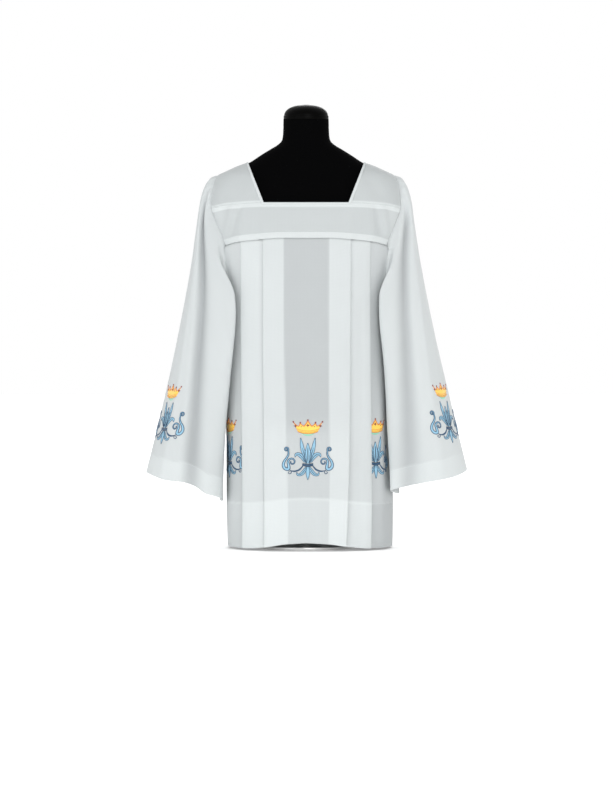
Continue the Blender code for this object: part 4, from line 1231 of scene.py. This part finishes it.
def lily():
    """A lily over a tied band, with scrolled tendrils; 0, 0 is under its middle."""
    work = Needlework()
    petals = (
        ([(3.5, 40), (8, 58), (13.5, 78), (17.5, 101)], (1.3, 3.2, 4.4, 3.6, 0.5)),
        ([(7, 43), (13, 54), (21, 61.5), (28.5, 61.5), (30.5, 55)], (1.5, 3.8, 4.8, 3.4, 0.6)),
        ([(3.5, 32), (9, 22), (16, 14.5), (24, 13), (27, 19)], (1.3, 3.6, 4.0, 2.6, 0.6)),
    )
    for points, half_widths in petals:
        for line in (points, mirrored(points)):
            work.petal(line, half_widths, LIGHT_BLUE, MID_BLUE)
            work.cord(smooth_line(line[:-1]), 0.8, DARK_BLUE, base=0.5)
    work.petal([(0, 40), (0, 57), (0, 73), (0, 89)], (2.0, 6.6, 7.6, 4.4, 0.5), LIGHT_BLUE, MID_BLUE)
    work.cord(smooth_line([(0, 44), (0, 60), (0, 78)]), 1.1, DARK_BLUE, base=0.55)
    work.petal([(0, 32), (0, 18), (0, 1)], (1.8, 4.8, 3.6, 0.5), LIGHT_BLUE, MID_BLUE)
    for way in (1, -1):
        inner = spiral((38.0, 43.5), 1.8, 11.0, 0.6, -1.35)
        bowl = [(46.0, 27.5), (54.0, 27.5), (58.6, 35), (56.5, 45), (50.5, 53.5), (46.5, 62), (46.8, 70)]
        hook = spiral((51.5, 73.5), 5.6, 1.7, math.pi * 1.08, -1.25)
        line = np.concatenate([inner[:-3], np.array(bowl), hook[2:]])
        line = smooth_line(line * (way, 1), 1.0)
        work.stroke(line, SCROLL_HALF, 0.8, LIGHT_BLUE)
        half = np.interp(np.linspace(0, 8, len(line)), range(9), SCROLL_EDGE)[:, None]
        for edge in (-1, 1):
            work.cord(line + sideways(line) * half * edge, 1.05, MID_BLUE, taper=False, height=1.0)
        arm = [(12 * way, 34), (20 * way, 25.5), (31 * way, 21.5), (43 * way, 23)]
        work.stroke(smooth_line(arm), (1.5, 2.3, 2.0, 1.0), 0.9, MID_BLUE)
        spur = spiral((44, 19.0), 5.6, 1.4, QUARTER * 1.1, 1.1) * (way, 1)
        work.cord(smooth_line(spur, 1.0), 0.9, MID_BLUE)
    work.stroke(smooth_line([(-13, 37.5), (0, 35.4), (13, 37.5)]), (2.6, 3.1, 2.6), 1.25, MID_BLUE)
    for height in (2.8, -2.8):
        line = [(-13, 37.5 + height), (0, 35.4 + height), (13, 37.5 + height)]
        work.cord(smooth_line(line), 0.75, DARK_BLUE, base=0.3)
    return work


CROWN_TOPS = (
    (0.0, 34.0), (0.06, 28.0), (0.13, 24.0), (0.19, 26.5), (0.245, 32.0), (0.30, 26.5), (0.37, 25.0),
    (0.44, 31.0), (0.5, 38.0),
)
CROWN_HALF, CROWN_TOP_HALF, CROWN_FLARE = 24.5, 36.5, 26.0  # half-widths at the foot and this far above it


def crown():
    """A five-pointed crown with set stones; 0, 0 is under the middle of its lower edge."""
    work = Needlework()
    tops = CROWN_TOPS + tuple((1 - s, top) for s, top in reversed(CROWN_TOPS[:-1]))

    def low(s):
        return 6.0 + 5.5 * (2 * s - 1) ** 2

    def place(s, t):
        top = float(np.interp(s, [k for k, _ in tops], [h for _, h in tops]))
        y = mix(low(s), top, t)
        flare = mix(CROWN_HALF, CROWN_TOP_HALF, min(1.0, (y - low(s)) / CROWN_FLARE))
        return (2 * s - 1) * flare, y

    def yellow(s, t):
        return ORANGE if t > 0.90 or s < 0.012 or s > 0.988 else YELLOW

    work.patch(120, 12, place, 0.8, yellow)

    def lining(s, t):
        x = (2 * s - 1) * 16.5
        return x, mix(low(0.5 + x / 49.0) + 0.6, 0.6 + 6.5 * (2 * s - 1) ** 2, t)

    work.patch(30, 5, lining, 0.7, lambda s, t: MINT)
    for offset, half in ((0.0, 0.85), (6.6, 0.55)):
        flare = mix(CROWN_HALF, CROWN_TOP_HALF, offset / CROWN_FLARE)
        line = [((2 * s - 1) * flare, low(s) + offset) for s in np.linspace(0.01, 0.99, 13)]
        work.cord(smooth_line(line), half, ORANGE, taper=False, base=0.55)
    edge = [place(float(s), 1.0) for s in np.linspace(0, 1, 97)]
    work.cord(np.array(edge), 0.6, ORANGE, taper=False, base=0.25)
    for k in range(15):
        s = 0.09 + 0.82 * k / 14
        work.seed(((2 * s - 1) * 26.0, low(s) + 3.3), 0.9, 0.9, 0.55, RED, 8)
    for x, y, wide, tall in ((0, 26, 2.8, 5.0), (-29.5, 24.5, 2.4, 4.0), (29.5, 24.5, 2.4, 4.0)):
        work.seed((x, y), wide, tall, 0.7, RED, 4)
        work.seed((x, y), wide * 2.0, tall * 0.42, 0.55, RED, 4)
    for x, y in ((-16.0, 23.0), (16.0, 23.0)):
        work.seed((x, y), 1.3, 1.5, 0.6, DARK_BLUE, 8)
    for s, top in tops[::4]:
        x, y = place(s, 1.0)
        work.seed((x, y + 0.4), 2.1, 2.3, 0.9, RED, 8)
    return work


# ---------------------------------------------------------------- materials

THREADS_PER_METRE = 1900


def new_material(name):
    made = bpy.data.materials.new(name)
    made.use_nodes = True
    return made, made.node_tree.nodes, made.node_tree.links, made.node_tree.nodes["Principled BSDF"]


def give(node, values):
    """Sets a node's inputs to these values."""
    for name, value in values.items():
        node.inputs[name].default_value = value


def add(nodes, kind, values=None, **settings):
    """A new node, with its inputs' values and its settings."""
    node = nodes.new(kind)
    for key, value in settings.items():
        setattr(node, key, value)
    give(node, values or {})
    return node


def relief_from(nodes, links, height, shader, strength, distance):
    """Gives the surface a fine relief from a pattern."""
    relief = add(nodes, "ShaderNodeBump", {"Strength": strength, "Distance": distance})
    links.new(height, relief.inputs["Height"])
    links.new(relief.outputs["Normal"], shader.inputs["Normal"])


def between(nodes, links, pattern, low, high):
    """A pattern, brought between two values."""
    span = add(nodes, "ShaderNodeMapRange", {"To Min": low, "To Max": high})
    links.new(pattern, span.inputs["Value"])
    return span.outputs["Result"]


def blended(nodes, links, pattern, first, second):
    """A colour that goes from the first to the second with a pattern."""
    both = add(nodes, "ShaderNodeMix", {"A": (*first, 1), "B": (*second, 1)}, data_type="RGBA")
    links.new(pattern, both.inputs["Factor"])
    return both.outputs["Result"]


def combined(nodes, links, operation, first, second):
    both = add(nodes, "ShaderNodeMath", operation=operation)
    links.new(first, both.inputs[0])
    links.new(second, both.inputs[1])
    return both.outputs["Value"]


def scaled(nodes, links, colour, by):
    """A colour, made lighter or darker by a pattern."""
    made = add(nodes, "ShaderNodeVectorMath", operation="SCALE")
    links.new(colour, made.inputs[0])
    links.new(by, made.inputs["Scale"])
    return made.outputs["Vector"]


def grained(name, kind, values, **settings):
    """A new material with a pattern in the piece's own space."""
    made, nodes, links, shader = new_material(name)
    place = add(nodes, "ShaderNodeTexCoord")
    pattern = add(nodes, kind, values, **settings)
    links.new(place.outputs["Object"], pattern.inputs["Vector"])
    return made, nodes, links, shader, place, pattern.outputs["Fac"]


def weave(nodes, links):
    """A plain weave: two sets of threads at right angles on the cloth's own UV map."""
    place = add(nodes, "ShaderNodeUVMap", uv_map="threads")
    waves = []
    for direction in ("X", "Y"):
        values = {"Scale": THREADS_PER_METRE / 20, "Distortion": 0.6, "Detail": 1.0, "Detail Scale": 0.3}
        wave = add(nodes, "ShaderNodeTexWave", values, wave_type="BANDS", bands_direction=direction)
        links.new(place.outputs["UV"], wave.inputs["Vector"])
        waves.append(wave.outputs["Fac"])
    return place, combined(nodes, links, "MULTIPLY", *waves)


def cloth_material(name, single, folded, see_through):
    """White cloth, its painted shade read from the piece: painted grey where one layer hangs over the black
    form, white where layers lie together, and lighter or darker where light and shade are painted.
    """
    made, nodes, links, shader = new_material(name)
    place, crossed = weave(nodes, links)
    painted_shade = add(nodes, "ShaderNodeAttribute", attribute_name="painted_shade")
    white = blended(nodes, links, painted_shade.outputs["Fac"], single, folded)
    cloudy = add(nodes, "ShaderNodeTexNoise", {"Scale": 14.0, "Detail": 4.0})
    links.new(place.outputs["UV"], cloudy.inputs["Vector"])
    slubs = between(nodes, links, cloudy.outputs["Fac"], 0.975, 1.02)
    threads = between(nodes, links, crossed, 0.955, 1.01)
    shaded = scaled(nodes, links, white, combined(nodes, links, "MULTIPLY", slubs, threads))
    links.new(shaded, shader.inputs["Base Color"])
    relief_from(nodes, links, crossed, shader, 0.35, 0.0002)
    give(shader, {"Roughness": 0.72, "Specular IOR Level": 0.28})
    give(shader, {"Sheen Weight": 0.12, "Sheen Roughness": 0.45})
    through = add(nodes, "ShaderNodeBsdfTranslucent")
    links.new(shaded, through.inputs["Color"])
    blend = add(nodes, "ShaderNodeMixShader", {"Fac": see_through})
    links.new(shader.outputs["BSDF"], blend.inputs[1])
    links.new(through.outputs["BSDF"], blend.inputs[2])
    links.new(blend.outputs["Shader"], nodes["Material Output"].inputs["Surface"])
    return made


def thread_material(name, roughness):
    """Lustrous embroidery thread: its colour is the piece's own, and its stitches cross each band."""
    made, nodes, links, shader = new_material(name)
    place = add(nodes, "ShaderNodeUVMap", uv_map="threads")
    values = {"Scale": 115.0, "Distortion": 0.8, "Detail": 1.0}
    lines = add(nodes, "ShaderNodeTexWave", values, wave_type="BANDS", bands_direction="X")
    links.new(place.outputs["UV"], lines.inputs["Vector"])
    colour = add(nodes, "ShaderNodeAttribute", attribute_name="thread")
    shade = between(nodes, links, lines.outputs["Fac"], 0.80, 1.12)
    links.new(scaled(nodes, links, colour.outputs["Color"], shade), shader.inputs["Base Color"])
    relief_from(nodes, links, lines.outputs["Fac"], shader, 0.5, 0.0002)
    give(shader, {"Roughness": roughness, "Sheen Weight": 0.2})
    return made


def jersey_material():
    values = {"Scale": 55.0, "Distortion": 1.2, "Detail Scale": 3.0}
    settings = {"wave_type": "BANDS", "bands_direction": "Z"}
    made, nodes, links, shader, place, rows = grained("black_jersey", "ShaderNodeTexWave", values, **settings)
    fuzz = add(nodes, "ShaderNodeTexNoise", {"Scale": 420.0, "Detail": 3.0})
    links.new(place.outputs["Object"], fuzz.inputs["Vector"])
    both = combined(nodes, links, "ADD", rows, fuzz.outputs["Fac"])
    relief_from(nodes, links, both, shader, 0.3, 0.0004)
    dye = blended(nodes, links, fuzz.outputs["Fac"], (0.0008, 0.0008, 0.0009), (0.0018, 0.0018, 0.0020))
    links.new(dye, shader.inputs["Base Color"])
    give(shader, {"Roughness": 0.9, "Specular IOR Level": 0.02})
    return made


def cap_material():
    values = {"Scale": 160.0, "Detail": 4.0}
    made, nodes, links, shader, _, grain = grained("dark_cap_plastic", "ShaderNodeTexNoise", values)
    tint = blended(nodes, links, grain, (0.0005, 0.0005, 0.0004), (0.0012, 0.0011, 0.0009))
    links.new(tint, shader.inputs["Base Color"])
    links.new(between(nodes, links, grain, 0.36, 0.50), shader.inputs["Roughness"])
    relief_from(nodes, links, grain, shader, 0.12, 0.0003)
    give(shader, {"Specular IOR Level": 0.035})
    return made


def steel_material():
    values = {"Scale": 90.0, "Detail": 5.0}
    made, nodes, links, shader, _, brushed = grained("satin_steel", "ShaderNodeTexNoise", values)
    links.new(between(nodes, links, brushed, 0.26, 0.38), shader.inputs["Roughness"])
    relief_from(nodes, links, brushed, shader, 0.05, 0.0002)
    give(shader, {"Base Color": (0.66, 0.66, 0.65, 1), "Metallic": 1.0})
    return made


# ---------------------------------------------------------------- the dress form

TORSO_ROWS, TORSO_AROUND = 150, 128
COVER_SEAM_HEIGHT = 1.0165  # the jersey cover's stitched top edge, under the cap
CAP_OVERHANG, CAP_RIM, CAP_LIP = 0.0012, 0.0080, 0.0012
CAP_STEPS, CAP_ROUNDNESS = 9, 0.8  # the dome's rings, and how full its shoulder is
CAP_LIP_STEP, CAP_BUTTON_SHARE, CAP_BUTTON_STEP, CAP_SPARE = 0.0004, 0.30, 0.0006, 0.0010
COLLAR_STEP = 0.0030
EDGE_BEVEL, BASE_BEVEL = 0.0008, 0.0014
POLE_RADIUS, COLLAR_RADIUS, FLANGE_THICKNESS, POLE_FOOT = 0.016, 0.026, 0.0060, 0.0040


def torso(finish):
    """The limbless torso and neck, smooth under its jersey cover."""
    z = np.linspace(FORM_BOTTOM, FORM_RINGS[0][0], TORSO_ROWS)[:, None]
    turn = (np.arange(TORSO_AROUND) * 2 * math.pi / TORSO_AROUND)[None, :]
    sizes = (read(FORM_RINGS, FORM_COLUMNS, name, z) for name in FORM_COLUMNS[1:])
    wide, front, back, square, set_back = sizes
    c, s = np.cos(turn), np.sin(turn)
    ridge = 0.0008 * bump(z, COVER_SEAM_HEIGHT, 0.0014) - 0.0005 * bump(z, COVER_SEAM_HEIGHT - 0.0035, 0.001)
    x = np.sign(c) * np.abs(c) ** (2 / square) * (wide + ridge)
    y = np.sign(s) * np.abs(s) ** (2 / square) * (np.where(s < 0, front, back) + ridge) + set_back
    points = stack(x, y, z)
    mesh = bpy.data.meshes.new("torso_cover")
    rows, around = points.shape[:2]
    faces = []
    for r in range(rows - 1):
        low, high = r * around, (r + 1) * around
        for k in range(around):
            following = (k + 1) % around
            faces.append((low + k, low + following, high + following, high + k))
    faces.append(tuple(reversed(range(around))))
    faces.append(tuple(range((rows - 1) * around, rows * around)))
    mesh.from_pydata(points.reshape(-1, 3).tolist(), [], faces)
    return as_piece(mesh, finish)


def select_faces(piece, chosen):
    bpy.ops.object.mode_set(mode="EDIT")
    bpy.ops.mesh.select_all(action="DESELECT")
    bpy.ops.object.mode_set(mode="OBJECT")
    for face in piece.data.polygons:
        face.select = chosen(face)
    bpy.ops.object.mode_set(mode="EDIT")
    bpy.ops.mesh.select_mode(type="FACE")


def round_piece(name, finish, sides, radius, foot, tall):
    """A round bar or disc to shape further, with its top face selected."""
    bpy.ops.object.select_all(action="DESELECT")
    middle = (foot[0], foot[1], foot[2] + tall / 2)
    bpy.ops.mesh.primitive_cylinder_add(vertices=sides, radius=radius, depth=tall, location=middle)
    made = bpy.context.active_object
    made.name = made.data.name = name
    bpy.ops.object.transform_apply(location=True, rotation=True, scale=True)
    made.data.materials.append(finish)
    select_faces(made, lambda face: face.normal.z > 0.9)
    return made


def pull_up(up):
    bpy.ops.mesh.extrude_region_move(TRANSFORM_OT_translate={"value": (0, 0, up)})


def finish_hard_piece(piece, bevel, segments):
    bpy.ops.object.mode_set(mode="OBJECT")
    edge = piece.modifiers.new("edge", "BEVEL")
    edge.width, edge.segments = bevel, segments
    edge.limit_method, edge.angle_limit = "ANGLE", math.radians(35)
    apply_modifiers(piece)
    bpy.ops.object.select_all(action="DESELECT")
    piece.select_set(True)
    bpy.ops.object.shade_smooth_by_angle(angle=math.radians(32))
    piece.select_set(False)
    return piece


def neck_cap(finish):
    """The domed cap on the neck: a rim, a shallow dome and a flat button at its top."""
    low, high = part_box("neck_cap")
    back, radius = (low.y + high.y) / 2, (high.x - low.x) / 2 + CAP_OVERHANG
    cap = round_piece("dress_form_neck_cap", finish, 96, radius, (0, back, low.z), CAP_RIM)
    bpy.ops.mesh.inset(thickness=CAP_LIP)
    pull_up(CAP_LIP_STEP)
    turns = [QUARTER * k / (CAP_STEPS + 0.6) for k in range(CAP_STEPS + 1)]
    rise = high.z - low.z - CAP_RIM - CAP_SPARE
    for before, after in zip(turns, turns[1:]):
        pull_up(rise * (math.sin(after) - math.sin(before)))
        shrink = math.cos(after) ** CAP_ROUNDNESS / math.cos(before) ** CAP_ROUNDNESS
        bpy.ops.transform.resize(value=(shrink, shrink, 1), center_override=(0, back, 0))
    button = (radius - CAP_LIP) * math.cos(turns[-1]) ** CAP_ROUNDNESS
    bpy.ops.mesh.inset(thickness=button * CAP_BUTTON_SHARE)
    pull_up(CAP_BUTTON_STEP)
    return finish_hard_piece(cap, EDGE_BEVEL, 3)


def stand_base(finish):
    """The round foot, with a collar where the pole screws in."""
    _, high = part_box("stand_base")
    base = round_piece("round_steel_base", finish, 128, high.x, (0, 0, 0), high.z)
    bpy.ops.mesh.inset(thickness=high.x - COLLAR_RADIUS)
    pull_up(COLLAR_STEP)
    return finish_hard_piece(base, BASE_BEVEL, 4)


def stand_pole(finish):
    """The pole, and the flange under the torso."""
    low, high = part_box("stand_pole")
    foot = low.z + POLE_FOOT
    rod = round_piece("steel_pole", finish, 64, POLE_RADIUS, (0, 0, foot), high.z - foot)
    pull_up(-FLANGE_THICKNESS)
    bpy.ops.transform.resize(value=(high.x / POLE_RADIUS, high.x / POLE_RADIUS, 1), center_override=(0, 0, 0))
    pull_up(FLANGE_THICKNESS)
    return finish_hard_piece(rod, EDGE_BEVEL, 3)


# ---------------------------------------------------------------- putting it together


def declare(piece, slot, *nodes):
    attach(piece, "root")
    if nodes:
        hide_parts(*nodes)
    return piece


def topstitch(name, panel, slot, from_low=(), from_top=()):
    """Rows of topstitching along a panel, this far in from its lower and its upper edge."""
    lines = [level_line(panel, d) for d in from_low] + [level_line(panel, d, low=False) for d in from_top]
    thickness, finish = (YOKE_CLOTH, yoke_cloth) if slot == "yoke_cloth" else (CLOTH, cloth)
    return declare(stitches(f"{name}_topstitching", lines, thickness, finish), slot)


# Cloth colours: the two greys are painted shade, one layer over the black form, and FOLDED is the cloth's own
# white.
SHADED_ONE_LAYER, SHADED_ONE_YOKE_LAYER, FOLDED = (0.383, 0.402, 0.413), (0.383, 0.406, 0.411), (0.765, 0.803, 0.803)
cloth = cloth_material("surplice_cloth", SHADED_ONE_LAYER, FOLDED, 0.16)
yoke_cloth = cloth_material("yoke_cloth", SHADED_ONE_YOKE_LAYER, FOLDED, 0.06)
blue = thread_material("blue_thread", 0.42)
gold = thread_material("gold_thread", 0.38)
jersey, cap, steel = jersey_material(), cap_material(), steel_material()

# How far in from a panel's edges its rows of topstitching run.
SHOULDER_STITCHES, BAND_LOW_STITCHES, BAND_TOP_STITCHES = (0.0028,), (0.0025, SEAM_STRIPE), (0.0025,)
HEM_STITCH_IN = 0.002  # below the turned-up edge

form_pieces = (
    (torso(jersey), "form_jersey", "form_torso"),
    (neck_cap(cap), "neck_cap", "neck_cap"),
    (stand_base(steel), "stand_metal", "stand_base"),
    (stand_pole(steel), "stand_metal", "stand_pole"),
)
for piece, slot, node in form_pieces:
    declare(piece, slot, node)

panels = {}
for hand, word in ((-1, "left"), (1, "right")):
    panel, piece = shoulder_piece(hand, yoke_cloth)
    panels[piece.name] = panel
    declare(piece, "yoke_cloth", f"shoulder_{word}")
    seams = topstitch(f"{word}_shoulder", panel, "yoke_cloth", SHOULDER_STITCHES, SHOULDER_STITCHES)

for side, word in ((-1, "front"), (1, "back")):
    panel, piece = yoke_band(side, yoke_cloth)
    panels[piece.name] = panel
    declare(piece, "yoke_cloth", f"yoke_band_{word}")
    seams = topstitch(f"{word}_band", panel, "yoke_cloth", BAND_LOW_STITCHES, BAND_TOP_STITCHES)
    panel, piece = skirt(side, cloth)
    panels[piece.name] = panel
    declare(piece, "surplice_cloth", f"skirt_{word}")
    seams = topstitch(f"{word}_hem", panel, "surplice_cloth", [HEM_DEPTH - HEM_STITCH_IN])

for hand, word in ((-1, "left"), (1, "right")):
    panel, piece = sleeve(hand, cloth)
    panels[piece.name] = panel
    declare(piece, "surplice_cloth", f"sleeve_{word}")
    seams = topstitch(f"{word}_cuff", panel, "surplice_cloth", [CUFF_DEPTH - HEM_STITCH_IN])

binding = declare(neck_binding(cloth), "surplice_cloth", "neck_binding")

# Where each motif sits: its panel, the place of its middle, and the height of its foot.
MOTIFS = (
    ("front_middle", "front_skirt", 0.001, 0.1735),
    ("front_left", "front_skirt", -0.179, 0.170),
    ("front_right", "front_skirt", 0.168, 0.170),
)
SLEEVE_MOTIFS = (("left_sleeve", 0.72, 0.253), ("right_sleeve", 0.72, 0.256))


def nearest(panel, x, z, outermost):
    """The row and column of the panel's point nearest to x and z: on its outermost or innermost layer."""
    points = panel.points
    off = np.hypot(points[..., 0] - x, points[..., 2] - z)
    near = off < off.min() + 0.004
    deep = np.where(near, points[..., 1], 1e9 if outermost else -1e9)
    found = deep.argmin() if outermost else deep.argmax()
    return np.unravel_index(found, off.shape)


def embroider(name, panel, anchor):
    declare(lily().lay_on(f"{name}_lily", panel, anchor, CLOTH / 2, blue), "blue_thread")
    crowned = crown()
    crowned.points = [(x, y + CROWN_RAISED, h) for x, y, h in crowned.points]
    declare(crowned.lay_on(f"{name}_crown", panel, anchor, CLOTH / 2, gold), "gold_thread")


for name, panel_name, x, z in MOTIFS:
    embroider(name, panels[panel_name], nearest(panels[panel_name], x, z, name == "front_middle"))
for panel_name, turn, z in SLEEVE_MOTIFS:
    panel = panels[panel_name]
    share = (turn - math.pi) / (2 * math.pi) % 1.0
    column = int(share * SLEEVE_AROUND)
    if panel_name == "right_sleeve":
        column = SLEEVE_AROUND - 1 - column
    row = int(np.abs(panel.points[:, column, 2] - z).argmin())
    embroider(panel_name, panel, (row, column))


# ---------------------------------------------------------------- floor, light and camera

FLOOR_HALF = 9.0
LAMPS_AIM = (0, 0, 0.45)
SENSOR_WIDTH = 36.0
CAMERA_AT, CAMERA_AIM, CAMERA_LENS = (0.001, -12.0, 0.8605), (0.001, 0.0, 0.3565), 223.8


def floor():
    bpy.ops.object.select_all(action="DESELECT")
    bpy.ops.mesh.primitive_plane_add(size=2 * FLOOR_HALF, location=(0, 0, 0))
    plane = bpy.context.active_object
    plane.name = "pale_floor"
    made, _, _, shader = new_material("pale_floor")
    give(shader, {"Base Color": (0.95, 0.95, 0.95, 1), "Roughness": 0.9})
    give(shader, {"Emission Color": (1, 1, 1, 1), "Emission Strength": 0.24})
    plane.data.materials.append(made)


def aim_from(made, place, aim):
    """Stands a lamp or camera at a place, facing the point that it aims at."""
    made.location = place
    way = Vector(aim) - Vector(place)
    made.rotation_euler = way.to_track_quat("-Z", "Y").to_euler()


def lamp(name, place, size, power, colour):
    light = bpy.data.lights.new(name, "AREA")
    light.shape, light.size, light.energy, light.color = "SQUARE", size, power, colour
    aim_from(placed(name, light), place, LAMPS_AIM)


def studio():
    world = bpy.data.worlds.new("soft_white")
    world.use_nodes = True
    sky = world.node_tree.nodes["Background"]
    nodes, links = world.node_tree.nodes, world.node_tree.links
    place, parts = add(nodes, "ShaderNodeTexCoord"), add(nodes, "ShaderNodeSeparateXYZ")
    values = {"From Min": -0.5, "From Max": 0.5, "To Min": 0.76, "To Max": 1.0}
    strength = add(nodes, "ShaderNodeMapRange", values)
    links.new(place.outputs["Generated"], parts.inputs["Vector"])
    links.new(parts.outputs["Y"], strength.inputs["Value"])
    links.new(strength.outputs["Result"], sky.inputs["Strength"])
    give(sky, {"Color": (1, 1, 1, 1)})
    bpy.context.scene.world = world
    lamp("key_from_the_front", (0.9, -5.8, 2.2), 1.8, 118.0, (1.0, 1.0, 1.0))
    lamp("fill_from_the_left", (-3.8, -4.2, 1.6), 2.4, 40.0, (0.93, 0.97, 1.0))
    lamp("soft_light_from_behind", (0.8, 5.8, 2.4), 2.4, 75.0, (1.0, 1.0, 1.0))
    bpy.context.scene.view_settings.view_transform = "Standard"


def camera():
    made = placed("camera", bpy.data.cameras.new("camera"))
    aim_from(made, CAMERA_AT, CAMERA_AIM)
    made.data.lens = CAMERA_LENS
    made.data.sensor_width = SENSOR_WIDTH
    bpy.context.scene.camera = made


floor()
studio()
camera()
